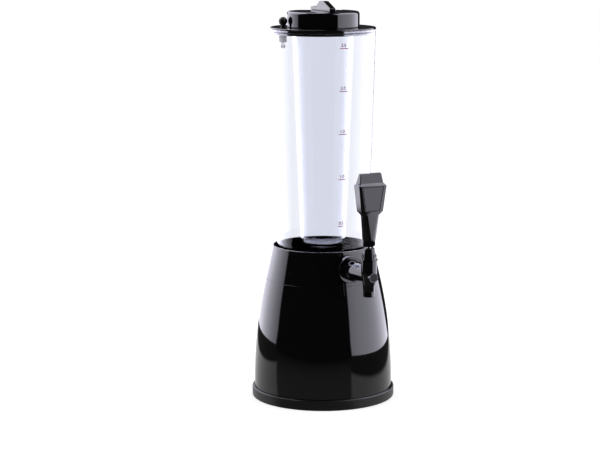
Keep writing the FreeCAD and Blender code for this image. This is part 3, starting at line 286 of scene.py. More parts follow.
def make_materials():
    """Every material of the object by its slot's name, made once."""
    look = tower().finishes
    return {
        # Polished ABS straight from a mirror-finished mould: sharp reflections that the
        # moulding's slight sink marks bend a little.
        "pedestal_gloss": substance(
            "Polished ABS moulding", look.gloss_black, 0.03, {"IOR": 1.53},
            grain=55, depth=0.03, detail=0.0),
        # The lid's skirt: the tank's wall lies close round it and adds its own reflections,
        # which the high index stands for.
        "skirt_gloss": substance(
            "Polished ABS behind clear plastic", look.gloss_black, 0.02, {"IOR": 2.6}),
        # ABS from an eroded mould: dull, with a fine even grain. The real 0.1 mm grain is
        # drawn at 0.6 mm so that it shows.
        "base_satin": substance(
            "Eroded ABS moulding", look.satin_black, 0.38,
            {"IOR": 1.53, "Specular IOR Level": 0.32}, grain=0.6, depth=0.02),
        # Pressed rubber sheet: matt and slightly open.
        "pad_rubber": substance(
            "Pressed rubber sheet", look.pad_black, 0.85, {"IOR": 1.52}, grain=1.2, depth=0.05),
        # Injection-moulded clear styrene: polished on both sides, faintly blue, with weak
        # reflections and a little grey where the eye looks along the wall.
        "tank_clear": substance(
            "Clear styrene moulding", look.clear, 0.0,
            {"IOR": 1.4, "Specular Tint": (0.25, 0.25, 0.25, 1), "Transmission Weight": 1.0},
            absorption=25),
        # The same polished ABS in small parts, a little duller where it is handled.
        "tap_gloss": substance(
            "Polished ABS tap part", look.tap_black, 0.06, {"IOR": 1.53},
            grain=12, depth=0.01, detail=0.0),
        # ABS from a bead-blasted mould: soft, wide highlights.
        "handle_satin": substance(
            "Bead-blasted ABS moulding", look.handle_black, 0.14, {"IOR": 1.53},
            grain=0.8, depth=0.002),
        # Cured silicone: milky and soft.
        "seal_silicone": substance(
            "Cured silicone seal", look.seal, 0.5,
            {"IOR": 1.41, "Subsurface Weight": 0.3, "Subsurface Scale": 0.001}),
        # Moulded nitrile rubber: black, matt.
        "gasket_rubber": substance(
            "Moulded nitrile rubber", linear("#161616"), 0.7, {"IOR": 1.52}),
        # Turned stainless steel: bright with a fine lathe finish.
        "steel": substance(
            "Turned stainless steel", linear("#C4C4C2"), 0.22, {"Metallic": 1.0}),
        # Natural polypropylene: white that lets some light in.
        "white_plastic": substance(
            "Natural polypropylene moulding", look.bush_white, 0.35,
            {"IOR": 1.49, "Transmission Weight": 0.12, "Subsurface Weight": 0.2,
             "Subsurface Scale": 0.002}),
        # Turned acetal: white, waxy.
        "acetal_white": substance("Turned acetal", linear("#ECEBE6"), 0.4, {"IOR": 1.48}),
        # Turned brass insert: warm, a little worn.
        "brass": substance("Turned brass", linear("#C9A661"), 0.25, {"Metallic": 1.0}),
        # Screen-printed ink, a thin dull film.
        "ink_red": substance("Screen-printed line ink", look.mark_red, 0.6, {"IOR": 1.5}),
        "ink_grey": substance(
            "Screen-printed figure ink", look.figure_grey, 0.6, {"IOR": 1.5}),
    }


MATERIALS = {}


def material_for(slot):
    """The material of a slot; the first call makes them all."""
    if not MATERIALS:
        MATERIALS.update(make_materials())
    return MATERIALS[slot]


# ---------------------------------------------------------------- making pieces


def bevel(bm, parts, radius, segments, affect="EDGES"):
    """Rounds edges, or with VERTICES the corners of a flat drawing."""
    return bmesh.ops.bevel(
        bm, geom=parts, offset=radius, offset_type="OFFSET", segments=segments, profile=0.5,
        affect=affect, clamp_overlap=affect == "EDGES", material=-1)


class Outline:
    """A line of corners, each a distance from an axis and a height, turned into a solid."""

    def __init__(self, radius, height, rounding=0):
        self.bm = bmesh.new()
        self.first = self.last = self.bm.verts.new((radius, 0, height))
        self.first_rounding = rounding
        self.rounds = []

    def to(self, radius, height, rounding=0):
        """A straight line to the next corner, which may be rounded."""
        corner = self.bm.verts.new((radius, 0, height))
        self.bm.edges.new((self.last, corner))
        self.last = corner
        if rounding:
            self.rounds.append((corner, rounding))
        return self

    def bow(self, radius, height, bow_radius, steps=24, rounding=0, down=False):
        """A curve to the next corner that bulges away from the axis, or downwards."""
        start, end = self.last.co.copy(), Vector((radius, 0, height))
        half = (end - start) / 2
        across = Vector((half.z, 0, -half.x)).normalized()
        across *= math.sqrt(bow_radius ** 2 - half.length_squared)
        choose = max if down else min
        centre = choose(
            (start + half + across, start + half - across), key=lambda point: point.x + point.z)
        sweep = (start - centre).angle(end - centre)
        if (start - centre).cross(end - centre).y < 0:
            sweep = -sweep
        turned = bmesh.ops.spin(
            self.bm, geom=[self.last], cent=centre, axis=(0, 1, 0), dvec=(0, 0, 0),
            angle=sweep, steps=steps, use_merge=False)
        self.last = turned["geom_last"][0]
        if rounding:
            self.rounds.append((self.last, rounding))
        return self

    def turn(self, steps=192):
        """Closes the line, rounds its corners and turns it about the axis."""
        bm = self.bm
        if self.first.co.x > 0 or self.last.co.x > 0:
            bm.edges.new((self.last, self.first))
        if self.first_rounding:
            self.rounds.append((self.first, self.first_rounding))
        for corner, radius in self.rounds:
            bevel(bm, [corner], radius, 6, "VERTICES")
        bmesh.ops.spin(
            bm, geom=bm.verts[:] + bm.edges[:], cent=(0, 0, 0), axis=(0, 0, 1),
            dvec=(0, 0, 0), angle=FULL_TURN, steps=steps, use_merge=True)
        bmesh.ops.remove_doubles(bm, verts=bm.verts[:], dist=1e-6)
        bmesh.ops.recalc_face_normals(bm, faces=bm.faces[:])
        return bm


def turned(first, *corners, steps=192):
    """Turns straight lines between corners, each a radius, a height and maybe a rounding."""
    outline = Outline(*first)
    for corner in corners:
        outline.to(*corner)
    return outline.turn(steps)


def ball(bm, radius, height):
    """Adds a ball on the axis."""
    bmesh.ops.create_uvsphere(
        bm, u_segments=64, v_segments=32, radius=radius,
        matrix=Matrix.Translation((0, 0, height)))


def cone(bm, foot_radius, top_radius, depth, matrix, segments=64):
    """Adds a round post, straight or tapered."""
    bmesh.ops.create_cone(
        bm, cap_ends=True, cap_tris=False, segments=segments, radius1=foot_radius,
        radius2=top_radius, depth=depth, matrix=matrix)


def box(bm, size, centre, place):
    """Adds a rectangular block to a mesh."""
    scale = Matrix.Diagonal((*size, 1))
    bmesh.ops.create_cube(bm, size=1, matrix=place @ Matrix.Translation(centre) @ scale)


def everything(bm):
    """All the corners, edges and faces of a mesh."""
    return bm.verts[:] + bm.edges[:] + bm.faces[:]


def only(kind, parts):
    """The parts of one kind."""
    return [part for part in parts if isinstance(part, kind)]


def moved(bm, matrix):
    """Moves a whole mesh."""
    bmesh.ops.transform(bm, matrix=matrix, verts=bm.verts[:])
    return bm


def shifted(bm, shift):
    """Shifts a whole mesh."""
    bmesh.ops.translate(bm, vec=shift, verts=bm.verts[:])
    return bm


def lay_on_tap_axis(bm):
    """Turns a piece drawn upwards so that it points forward along the tap's axis."""
    height = Matrix.Translation((0, 0, tower().tap.height))
    return moved(bm, height @ Matrix.Rotation(math.pi / 2, 4, "X"))


def stand_on_tap_column(bm):
    """Moves a piece drawn about the tower's axis to the tap's column."""
    return shifted(bm, (0, -tower().tap.reach, 0))


def round_about(turn, radius=0.0):
    """Turns about the tower's axis after a step of radius along X."""
    return Matrix.Rotation(turn, 4, "Z") @ Matrix.Translation((radius, 0, 0))


def merged_copy(node):
    """A copy of a solid's mesh with its corners joined and its flat faces whole again."""
    bm = bmesh.new()
    bm.from_mesh(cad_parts[node].data)
    bmesh.ops.remove_doubles(bm, verts=bm.verts[:], dist=1e-6)
    bmesh.ops.dissolve_limit(
        bm, angle_limit=math.radians(0.3), verts=bm.verts[:], edges=bm.edges[:])
    return bm


def mesh_of(bm, name):
    """Ends the making of a mesh."""
    mesh = bpy.data.meshes.new(name)
    bm.to_mesh(mesh)
    bm.free()
    return mesh


def new_object(name, data):
    """Puts an object into the scene."""
    thing = bpy.data.objects.new(name, data)
    bpy.context.scene.collection.objects.link(thing)
    return thing


def join(bm, other):
    """Adds another mesh to the first one."""
    carrier = mesh_of(other, "carrier")
    bm.from_mesh(carrier)
    bpy.data.meshes.remove(carrier)


def add_piece(name, bm, body, slot, replaces=(), material=None, sharp=32):
    """Makes an object of a finished mesh and gives it to its body and its material."""
    for face in bm.faces:
        face.smooth = True
    for edge in bm.edges:
        if len(edge.link_faces) == 2 and edge.calc_face_angle() > math.radians(sharp):
            edge.smooth = False
    mesh = mesh_of(bm, name)
    mesh.materials.append(material_for(material or slot))
    piece = new_object(name, mesh)
    # Large faces lead the shading, so a wall stays true up to its rounded edge.
    piece.modifiers.new("Shading", "WEIGHTED_NORMAL").keep_sharp = True
    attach(piece, body)
    if replaces:
        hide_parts(*replaces)
    return piece


# ---------------------------------------------------------------- pieces


class TOWER_OT_base(Operator):
    """Smooths the round base tray"""

    bl_idname = "drinks_tower.base"
    bl_label = "Base"

    def execute(self, context):
        bm = merged_copy("base_plate")
        # The tray's underside, outside the pad, comes down almost to the table.
        low, rounding, gap = foot_of("base_plate"), 0.0014, 0.0001
        stretch = 1 + (low - gap) / rounding
        play = 0.0005
        recess = radius_of("anti_slip_pad") + play
        for vertex in bm.verts:
            above = low + rounding - vertex.co.z
            if above > 0 and vertex.co.xy.length > recess:
                vertex.co.z = low + rounding - above * stretch
        add_piece("base_tray", bm, "pedestal", "base_satin", replaces=["base_plate"])
        return {"FINISHED"}


class TOWER_OT_pedestal(Operator):
    """Turns the bowed pedestal housing and adds the screw bosses and ribs inside it"""

    bl_idname = "drinks_tower.pedestal"
    bl_label = "Pedestal"

    def execute(self, context):
        size = tower().housing
        foot, seam = size.shell_foot_height, size.seam
        bm = (
            Outline(size.shell_foot - size.wall, foot)
            .to(size.shell_foot, foot, FINE)
            .bow(size.seam_radius, seam, size.bow, rounding=size.seam_bevel)
            .to(size.seam_radius - size.wall, seam)
            .bow(size.shell_foot - size.wall, foot, size.bow - size.wall)
            .turn())
        boss_foot, boss_height, boss_radius, rib_width = 0.0051, 0.028, 0.0045, 0.002
        rib = size.shell_foot - size.wall / 2 - size.screw_circle
        rib_top = boss_foot + boss_height
        for count in range(size.screws):
            place = round_about(count * FULL_TURN / size.screws, size.screw_circle)
            centre = Matrix.Translation((0, 0, boss_foot + boss_height / 2))
            cone(bm, boss_radius, boss_radius, boss_height, place @ centre, segments=32)
            box(bm, (rib, rib_width, rib_top - foot), (rib / 2, 0, (rib_top + foot) / 2), place)
        add_piece(
            "pedestal_housing", bm, "pedestal", "pedestal_gloss", replaces=["pedestal_shell"])
        return {"FINISHED"}


class TOWER_OT_collar(Operator):
    """Turns the collar with its floor and spigot, and adds the tap's boss and the floor ribs"""

    bl_idname = "drinks_tower.collar"
    bl_label = "Collar"

    def execute(self, context):
        size, shank_bore = tower().housing, tower().tap.shank_bore
        seam, wall, floor = size.seam, size.wall, size.floor
        spigot = size.seam_radius - 0.0028
        spigot_bore, spigot_foot = spigot - 0.003, seam - 0.009
        web_foot, web_top = seam + 0.0006, seam + 0.0051
        slope = (size.seam_radius - size.rim_radius) / (size.rim - seam)
        floor_foot = floor - 0.003
        bm = turned(
            (size.rim_radius, size.rim, size.rim_round),
            (size.rim_radius - wall, size.rim, size.rim_round),
            (size.seam_radius - slope * (web_top - seam) - wall, web_top),
            (spigot_bore, web_foot), (spigot_bore, floor), (size.floor_hole, floor, FINE),
            (size.floor_hole, floor_foot), (spigot_bore, floor_foot),
            (spigot_bore, spigot_foot), (spigot, spigot_foot, 0.0004), (spigot, seam),
            (size.seam_radius, seam, size.seam_bevel))
        # A low ring on the floor keeps the tank's foot in the middle.
        ring_bore, ring, ring_foot, ring_top = 0.0567, 0.0587, floor - 0.0015, floor + 0.004
        join(bm, turned(
            (ring_bore, ring_foot), (ring, ring_foot), (ring, ring_top, FINE),
            (ring_bore, ring_top, FINE)))
        ribs, rib_width = 8, 0.002
        rib_length = spigot - 0.0015 - size.floor_hole
        rib_foot, rib_top = floor - 0.008, floor - 0.0015
        for count in range(ribs):
            box(
                bm, (rib_length, rib_width, rib_top - rib_foot),
                (rib_length / 2, 0, (rib_top + rib_foot) / 2),
                round_about(count * FULL_TURN / ribs, size.floor_hole))
        boss_root = 0.0604
        join(bm, lay_on_tap_axis(turned(
            (shank_bore, boss_root), (size.boss, boss_root),
            (size.boss, size.boss_front, 0.0004), (shank_bore, size.boss_front), steps=96)))
        add_piece("collar_housing", bm, "tower", "pedestal_gloss", replaces=["collar_shell"])
        return {"FINISHED"}


class TOWER_OT_tank(Operator):
    """Turns the clear tank"""

    bl_idname = "drinks_tower.tank"
    bl_label = "Tank"

    def execute(self, context):
        size = tower().vessel
        foot, top, wall = size.tank_foot, size.tank_top, size.tank_wall
        inner_floor = foot + size.tank_floor
        bm = turned(
            (0, foot), (size.tank_foot_radius, foot, 0.003), (size.tank_top_radius, top, FINE),
            (size.tank_top_radius - wall, top, FINE),
            (tank_radius(inner_floor) - wall, inner_floor, 0.0025), (0, inner_floor))
        add_piece("tank_tumbler", bm, "tower", "tank_clear", replaces=["tank"])
        return {"FINISHED"}


def tank_radius(height):
    """Outer radius of the tank at a height."""
    size = tower().vessel
    share = (height - size.tank_foot) / (size.tank_top - size.tank_foot)
    return size.tank_foot_radius + share * (size.tank_top_radius - size.tank_foot_radius)


class TOWER_OT_scale(Operator):
    """Prints the scale's lines and numbers on the tank"""

    bl_idname = "drinks_tower.scale"
    bl_label = "Scale"

    # The height of each number's line.
    marks = {"0.5": 0.2255, "1.0": 0.284, "1.5": 0.340, "2.0": 0.393, "2.5": 0.4454}

    def execute(self, context):
        size = tower().vessel
        lines, figures = bmesh.new(), bmesh.new()
        across = Matrix.Diagonal((size.mark_width, size.mark_line, 1, 1))
        rise = 0.0021
        for figure, height in self.marks.items():
            bmesh.ops.create_grid(
                lines, x_segments=12, y_segments=1, size=0.5,
                matrix=Matrix.Translation((0, height, 0)) @ across)
            self.write(figures, figure, height + rise)
        self.print_film("scale_lines", lines, "ink_red")
        self.print_film("scale_figures", figures, "ink_grey")
        return {"FINISHED"}

    @staticmethod
    def write(bm, text, height):
        """Adds a line of figures, drawn flat, above a height."""
        curve = bpy.data.curves.new("figures", "FONT")
        curve.body = text
        curve.align_x = "CENTER"
        # Figures of this font are 0.69 of its size high.
        curve.size = tower().vessel.figure_height / 0.69
        # The ink spreads a little, so the strokes are bolder than the font's.
        curve.offset = 0.00012
        holder = new_object("figures", curve)
        bpy.context.view_layer.update()
        seen = holder.evaluated_get(bpy.context.evaluated_depsgraph_get())
        mesh = bpy.data.meshes.new_from_object(seen)
        beside = -0.0008
        mesh.transform(Matrix.Translation((beside, height, 0)))
        bm.from_mesh(mesh)
        bpy.data.objects.remove(holder)
        bpy.data.curves.remove(curve)
        bpy.data.meshes.remove(mesh)

    @staticmethod
    def print_film(name, bm, material):
        """Bends a flat drawing round the tank and makes it a very thin film."""
        thickness = 0.00004
        for vertex in bm.verts:
            height = vertex.co.y
            radius = tank_radius(height) + thickness
            turn = tower().vessel.mark_turn + vertex.co.x / radius
            vertex.co = (radius * math.sin(turn), -radius * math.cos(turn), height)
        bmesh.ops.remove_doubles(bm, verts=bm.verts[:], dist=1e-7)
        piece = add_piece(name, bm, "tower", "tank_clear", material=material)
        piece.modifiers.clear()
        film = piece.modifiers.new("Film", "SOLIDIFY")
        film.thickness = thickness
        film.offset = 0


class TOWER_OT_ice_tube(Operator):
    """Turns the clear ice tube that hangs in the lid's neck"""

    bl_idname = "drinks_tower.ice_tube"
    bl_label = "Ice tube"

    def execute(self, context):
        size, brim = tower().vessel, tower().lid.neck_outer
        foot, wall, neck = size.tube_foot, size.tube_wall, size.tube_neck_radius
        neck_foot, neck_top = size.tank_top, top_of("ice_tube") - wall
        dish, bowl = size.tube_dish, size.tube_bowl
        bm = (
            Outline(0, foot)
            .bow(size.tube_foot_radius, foot + dish, bowl, down=True, rounding=0.003)
            .to(neck, neck_foot)
            .to(neck, neck_top)
            .to(brim, neck_top)
            .to(brim, neck_top + wall, FINE)
            .to(neck - wall, neck_top + wall)
            .to(neck - wall, neck_foot)
            .to(size.tube_foot_radius - wall, foot + dish + wall, 0.002)
            .bow(0, foot + wall, bowl, down=True)
            .turn())
        add_piece("ice_core", bm, "tube", "tank_clear", replaces=["ice_tube"])
        return {"FINISHED"}


class TOWER_OT_lid(Operator):
    """Turns the lid with its neck for the ice tube, and its skirt with the seal's groove"""

    bl_idname = "drinks_tower.lid"
    bl_label = "Lid"

    def execute(self, context):
        size = tower().lid
        under, neck_top = top_of("tank"), top_of("lid")
        top = under + size.thickness
        skirt, skirt_foot, groove = size.skirt, foot_of("lid"), size.skirt - 0.001
        groove_foot, groove_top = foot_of("lid_seal") - 0.0001, top_of("lid_seal") + 0.0001
        ring = turned(
            (skirt - size.skirt_wall, under), (skirt - size.skirt_wall, skirt_foot),
            (skirt, skirt_foot, FINE), (skirt, groove_foot), (groove, groove_foot),
            (groove, groove_top), (skirt, groove_top), (skirt, under))
        add_piece(
            "lid_skirt", ring, "lid_unit", "pedestal_gloss", material="skirt_gloss")
        bm = turned(
            (size.neck_inner, under), (size.flange, under, FINE), (size.flange, top, 0.0008),
            (size.neck_outer, top), (size.neck_outer, neck_top, FINE),
            (size.neck_inner, neck_top))
        add_piece("lid_disc", bm, "lid_unit", "pedestal_gloss", replaces=["lid"])
        return {"FINISHED"}


class TOWER_OT_cap(Operator):
    """Turns the screw cap and sets its bar grip on the crown"""

    bl_idname = "drinks_tower.cap"
    bl_label = "Screw cap"

    def execute(self, context):
        size = tower().lid
        foot, seal_top = foot_of("ice_cap"), top_of("cap_seal")
        plug, plug_foot, plug_roof = 0.0355, seal_top - 0.008, seal_top + 0.0012
        plug_bore, bore = plug - 0.002, size.cap - size.cap_wall
        crown = size.cap_crown - size.cap_shoulder
        crown_bow = (size.cap ** 2 + crown ** 2) / (2 * crown)
        bm = (
            Outline(0, plug_roof)
            .to(plug_bore, plug_roof)
            .to(plug_bore, plug_foot)
            .to(plug, plug_foot, FINE)
            .to(plug, seal_top)
            .to(bore, seal_top)
            .to(bore, foot)
            .to(size.cap, foot, 0.0005)
            .to(size.cap, size.cap_shoulder, size.cap_round)
            .bow(0, size.cap_crown, crown_bow, steps=16)
            .turn())
        add_piece("screw_cap", bm, "cap", "pedestal_gloss", replaces=["ice_cap"])
        self.add_grip(size)
        return {"FINISHED"}

    @staticmethod
    def add_grip(size):
        """Draws the bar's side view, gives it its thickness and rounds it."""
        brim_foot = size.cap_crown - 0.0002
        brim_top, top = brim_foot + size.grip_brim, top_of("ice_cap")
        half = size.grip_length / 2
        # The bar rises in its middle, steeply at one end and gently at the other.
        steep, level, gentle = -0.0155, -0.003, 0.009
        side = [
            (-half, brim_foot), (half, brim_foot), (half, brim_top), (gentle, top),
            (level, top), (steep, brim_top), (-half, brim_top)]
        bm = bmesh.new()
        face = bm.faces.new([bm.verts.new((x, -size.grip_width / 2, z)) for x, z in side])
        far = bmesh.ops.extrude_face_region(bm, geom=[face])["geom"]
        bmesh.ops.translate(
            bm, vec=(0, size.grip_width, 0), verts=only(bmesh.types.BMVert, far))
        bmesh.ops.recalc_face_normals(bm, faces=bm.faces[:])
        sharp = [edge for edge in bm.edges if edge.calc_face_angle() > math.radians(25)]
        bevel(bm, sharp, 0.0008, 4)
        seat = 0.01
        middle = Matrix.Translation((0, 0, (brim_foot + size.cap_shoulder) / 2))
        cone(bm, seat, seat, brim_foot - size.cap_shoulder, middle)
        add_piece(
            "cap_grip", moved(bm, round_about(size.grip_turn)), "cap", "pedestal_gloss")


class TOWER_OT_vent(Operator):
    """Turns the vent's white bush, its black knob and the white split foot"""

    bl_idname = "drinks_tower.vent"
    bl_label = "Air vent"

    def execute(self, context):
        size = tower().lid
        place = round_about(size.vent_turn, size.vent_circle)
        under, top, foot = top_of("tank"), top_of("vent_bush"), foot_of("vent_bush")
        bore, neck, shoulder = 0.0027, 0.0038, 0.0048
        bush = turned(
            (bore, foot), (shoulder, foot, FINE), (shoulder, under), (neck, under),
            (neck, top), (bore, top), steps=64)
        add_piece(
            "vent_sleeve", moved(bush, place), "lid_unit", "white_plastic",
            replaces=["vent_bush"])

        stem, centre = 0.0026, top_of("vent_pin") - size.vent_ball
        knob = turned(
            (0, foot + 0.001), (stem, foot + 0.001), (stem, centre), (0, centre), steps=64)
        ball(knob, size.vent_ball, centre)
        add_piece(
            "vent_knob", moved(knob, place), "vent", "white_plastic",
            replaces=["vent_pin"], material="base_satin")

        low, root = foot_of("vent_pin"), foot + 0.0009
        barb_foot, barb_top = low + 0.0025, low + 0.0038
        tip, barb, waist, shank, half_slot = 0.0019, 0.0033, 0.0017, 0.0024, 0.0008
        legs = turned(
            (0, low), (tip, low), (barb, barb_foot, FINE), (tip, barb_top), (waist, foot),
            (shank, root), (0, root), steps=64)
        # One leg is what lies beyond the slot's side; the other is the same, turned round.
        bmesh.ops.bisect_plane(
            legs, geom=everything(legs), plane_co=(half_slot, 0, 0), plane_no=(1, 0, 0),
            clear_inner=True)
        bmesh.ops.holes_fill(legs, edges=legs.edges[:])
        other = bmesh.ops.duplicate(legs, geom=everything(legs))["geom"]
        bmesh.ops.rotate(
            legs, verts=only(bmesh.types.BMVert, other), cent=(0, 0, 0),
            matrix=Matrix.Rotation(math.pi, 3, "Z"))
        add_piece("vent_foot", moved(legs, place), "vent", "white_plastic")
        return {"FINISHED"}


class TOWER_OT_tap(Operator):
    """Dresses the tap: rosette, slotted nut, casting, plug, bonnet and hexagon"""

    bl_idname = "drinks_tower.tap"
    bl_label = "Tap"

    def execute(self, context):
        bore, face = tower().tap.shank_bore, tower().housing.boss_front
        front, radius = front_of("escutcheon"), radius_about_tap("escutcheon")
        rosette = turned(
            (bore, face), (radius, face), (radius, front, 0.0004), (bore, front), steps=96)
        add_piece(
            "tap_rosette", lay_on_tap_axis(rosette), "tower", "tap_gloss",
            replaces=["escutcheon"])
        casting = merged_copy("tap_body")
        # The tail flares out to the slotted nut.
        core, flare, tail, root = 0.0075, 0.0127, 0.0087, front_of("jam_nut") + 0.0001
        end = root + 0.009
        join(casting, lay_on_tap_axis(turned(
            (core, root), (flare, root), (tail, end, 0.003), (core, end), steps=128)))
        # The spout is straight from its mouth up to the column.
        inside, spout, mouth, column = 0.0052, 0.0071, foot_of("tap_body"), 0.1665
        join(casting, stand_on_tap_column(turned(
            (inside, mouth), (spout, mouth, 0.0006), (spout, column), (inside, column),
            steps=128)))
        add_piece("tap_casting", casting, "tower", "tap_gloss", replaces=["tap_body"])
        # The plug comes from an eroded mould, so its face is duller than the casting.
        for node, name, material in (
                ("jam_nut", "slotted_nut", None), ("bonnet", "tap_bonnet", None),
                ("front_plug", "valve_plug", "base_satin")):
            add_piece(
                name, merged_copy(node), "tower", "tap_gloss", replaces=[node],
                material=material)
        self.add_hexagon(tower().tap)
        return {"FINISHED"}

    @staticmethod
    def add_hexagon(size):
        """The hexagon, with a cone that runs down to the lever."""
        bm = merged_copy("collar_nut")
        centre = Vector((0, -size.reach, foot_of("collar_nut")))
        bmesh.ops.rotate(
            bm, verts=bm.verts[:], cent=centre,
            matrix=Matrix.Rotation(size.hexagon_turn, 3, "Z"))
        tip, root, depth, drop = 0.0031, 0.006, 0.0018, 0.0007
        cone(bm, tip, root, depth, Matrix.Translation(centre - Vector((0, 0, drop))))
        add_piece(
            "hexagon_collar", bm, "tap_lever", "tap_gloss", replaces=["collar_nut"])


class TOWER_OT_lever(Operator):
    """Turns the steel lever with its ball and shapes the handle"""

    bl_idname = "drinks_tower.lever"
    bl_label = "Lever and handle"

    # Height, width, depth, how far the front stands forward, and corner rounding of the
    # handle's sections, in millimetres from its foot: round at the foot, flat at the top.
    sections = (
        (0, 15, 14.4, 6.8, 7), (0.6, 16.2, 15.5, 7.3, 7.6), (31, 22.1, 13.5, 8.2, 5.2),
        (36, 29.6, 13.4, 8.5, 1.2), (66.7, 37.4, 14.7, 9.8, 0.9),
        (67.2, 37.2, 14.5, 9.6, 0.9), (69.8, 32, 10.7, 6.6, 0.9), (70.3, 31.8, 10.4, 6.4, 0.9),
        (81, 28.6, 5.1, 4.3, 0.9), (81.7, 27.4, 4.1, 3.8, 0.6),
    )

    # The panel's lower and upper corner on the right, from the handle's foot.
    panel_corners = ((0.0098, -0.0085, 0.036), (0.0151, -0.0098, 0.0667))

    # Steps of the groove round the panel: how far in, and how far forward.
    groove = ((0.0004, -0.0008), (0.0007, 0), (0.0003, 0.0008))

    def execute(self, context):
        size = tower().tap
        tip_radius, ball_radius = 0.0021, 0.0046
        rod, stem_radius, thread, thread_foot = 0.0015, 0.0025, 0.003, 0.211
        tip, top = foot_of("lever") + tip_radius, top_of("lever")
        stem = turned(
            (0, tip), (rod, tip), (rod, size.pivot), (stem_radius, size.pivot),
            (stem_radius, thread_foot), (thread, thread_foot), (thread, top, FINE), (0, top),
            steps=64)
        ball(stem, tip_radius, tip)
        ball(stem, ball_radius, size.pivot)
        add_piece(
            "steel_lever", stand_on_tap_column(stem), "tap_lever", "steel",
            replaces=["lever"])
        handle = self.body_of_handle()
        self.face_of_handle(handle, size)
        shifted(handle, (0, 0, foot_of("handle")))
        add_piece(
            "handle_grip", stand_on_tap_column(handle), "tap_lever", "handle_satin",
            replaces=["handle"])
        return {"FINISHED"}

    @classmethod
    def body_of_handle(cls):
        """Bridges the handle's rounded sections from its foot to its top."""
        bm = bmesh.new()
        below = None
        for section in cls.sections:
            height, width, depth, front, corner = (value * MILLIMETRE for value in section)
            place = Matrix.Translation((0, depth / 2 - front, height))
            corners = bmesh.ops.create_grid(
                bm, x_segments=1, y_segments=1, size=0.5,
                matrix=place @ Matrix.Diagonal((width, depth, 1, 1)))["verts"]
            rounded = bevel(bm, corners, corner, 6, "VERTICES")
            face = rounded["verts"][0].link_faces[0]
            loop = face.edges[:]
            bmesh.ops.delete(bm, geom=[face], context="FACES_ONLY")
            if below:
                bmesh.ops.bridge_loops(bm, edges=below + loop)
            below = loop
        bmesh.ops.holes_fill(bm, edges=bm.edges[:])
        bmesh.ops.recalc_face_normals(bm, faces=bm.faces[:])
        return bm

    @classmethod
    def face_of_handle(cls, bm, size):
        """Leans the head's front back beside its panel and cuts a fine groove round that."""
        for side in (-1, 1):
            low, high = (Vector((side * x, y, z)) for x, y, z in cls.panel_corners)
            across = (high - low).cross(Vector((side, math.tan(size.face_lean), 0)))
            cut = bmesh.ops.bisect_plane(
                bm, geom=everything(bm), plane_co=low,
                plane_no=across if across.y < 0 else -across, clear_outer=True)
            rim = only(bmesh.types.BMEdge, cut["geom_cut"])
            bmesh.ops.holes_fill(bm, edges=rim)
            bmesh.ops.recalc_face_normals(bm, faces=bm.faces[:])
            sharp = [
                edge for edge in rim
                if edge.is_valid and edge.calc_face_angle(0) > math.radians(40)]
            bevel(bm, sharp, size.edge, 3)
        panel = max(
            (face for face in bm.faces if face.normal.y < -0.9),
            key=lambda face: face.calc_area())
        for inwards, forwards in cls.groove:
            bmesh.ops.inset_individual(
                bm, faces=[panel], thickness=inwards, depth=forwards, use_even_offset=True)


class TOWER_OT_fittings(Operator):
    """Gives the small solids that show as they are their materials"""

    bl_idname = "drinks_tower.fittings"
    bl_label = "Small fittings"

    kept = {
        "anti_slip_pad": "pad_rubber", "base_screws": "steel",
        "outer_gasket": "gasket_rubber", "inner_gasket": "gasket_rubber",
        "lock_nut": "tap_gloss", "ball_seat": "acetal_white",
        "lid_seal": "seal_silicone", "vent_ring": "gasket_rubber",
        "cap_seal": "seal_silicone", "handle_insert": "brass",
        "plunger": "acetal_white", "seat_washer": "gasket_rubber",
        "washer_nut": "steel",
    }

    def execute(self, context):
        for node, slot in self.kept.items():
            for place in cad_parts[node].material_slots:
                place.link = "OBJECT"
                place.material = material_for(slot)
        return {"FINISHED"}


# ---------------------------------------------------------------- stage

# Directions are measured round the tower from the front, in degrees, anticlockwise seen
# from above. The camera stands a little to the left of the front.
CAMERA_TURN = -26.7
CAMERA_DISTANCE = 2.4188
CAMERA_HEIGHT = 0.6235
CAMERA_PITCH = 8.777

# How bright the round wall is by its direction from the camera's side, in degrees: dark in
# front, a softbox on each side, and even light behind.
WALL_LIGHT = (
    (-180, 2.2), (-149, 2.4), (-131, 3.4), (-109, 3.0), (-92, 2.0), (-85, 1.6), (-84, 0.02),
    (47, 0.02), (48, 2.3), (64, 2.9), (100, 3.2), (120, 3.6), (136, 3.3), (156, 2.2),
    (180, 2.2),
)


def direction(degrees):
    """The level direction at an angle round the tower from its front."""
    turn = math.radians(degrees)
    return Vector((math.sin(turn), -math.cos(turn), 0))


def ways_of_seeing(tree):
    """How light arrives, and whether it comes by a mirroring in gloss."""
    path = add_node(tree, "ShaderNodeLightPath").outputs
    # Light that goes through plastic counts as glossy too, but only a mirroring adds to the
    # glossy depth.
    mirrored = add_node(
        tree, "ShaderNodeMath", {0: path["Is Glossy Ray"], 1: path["Glossy Depth"]},
        operation="MULTIPLY", use_clamp=True)
    return path, mirrored


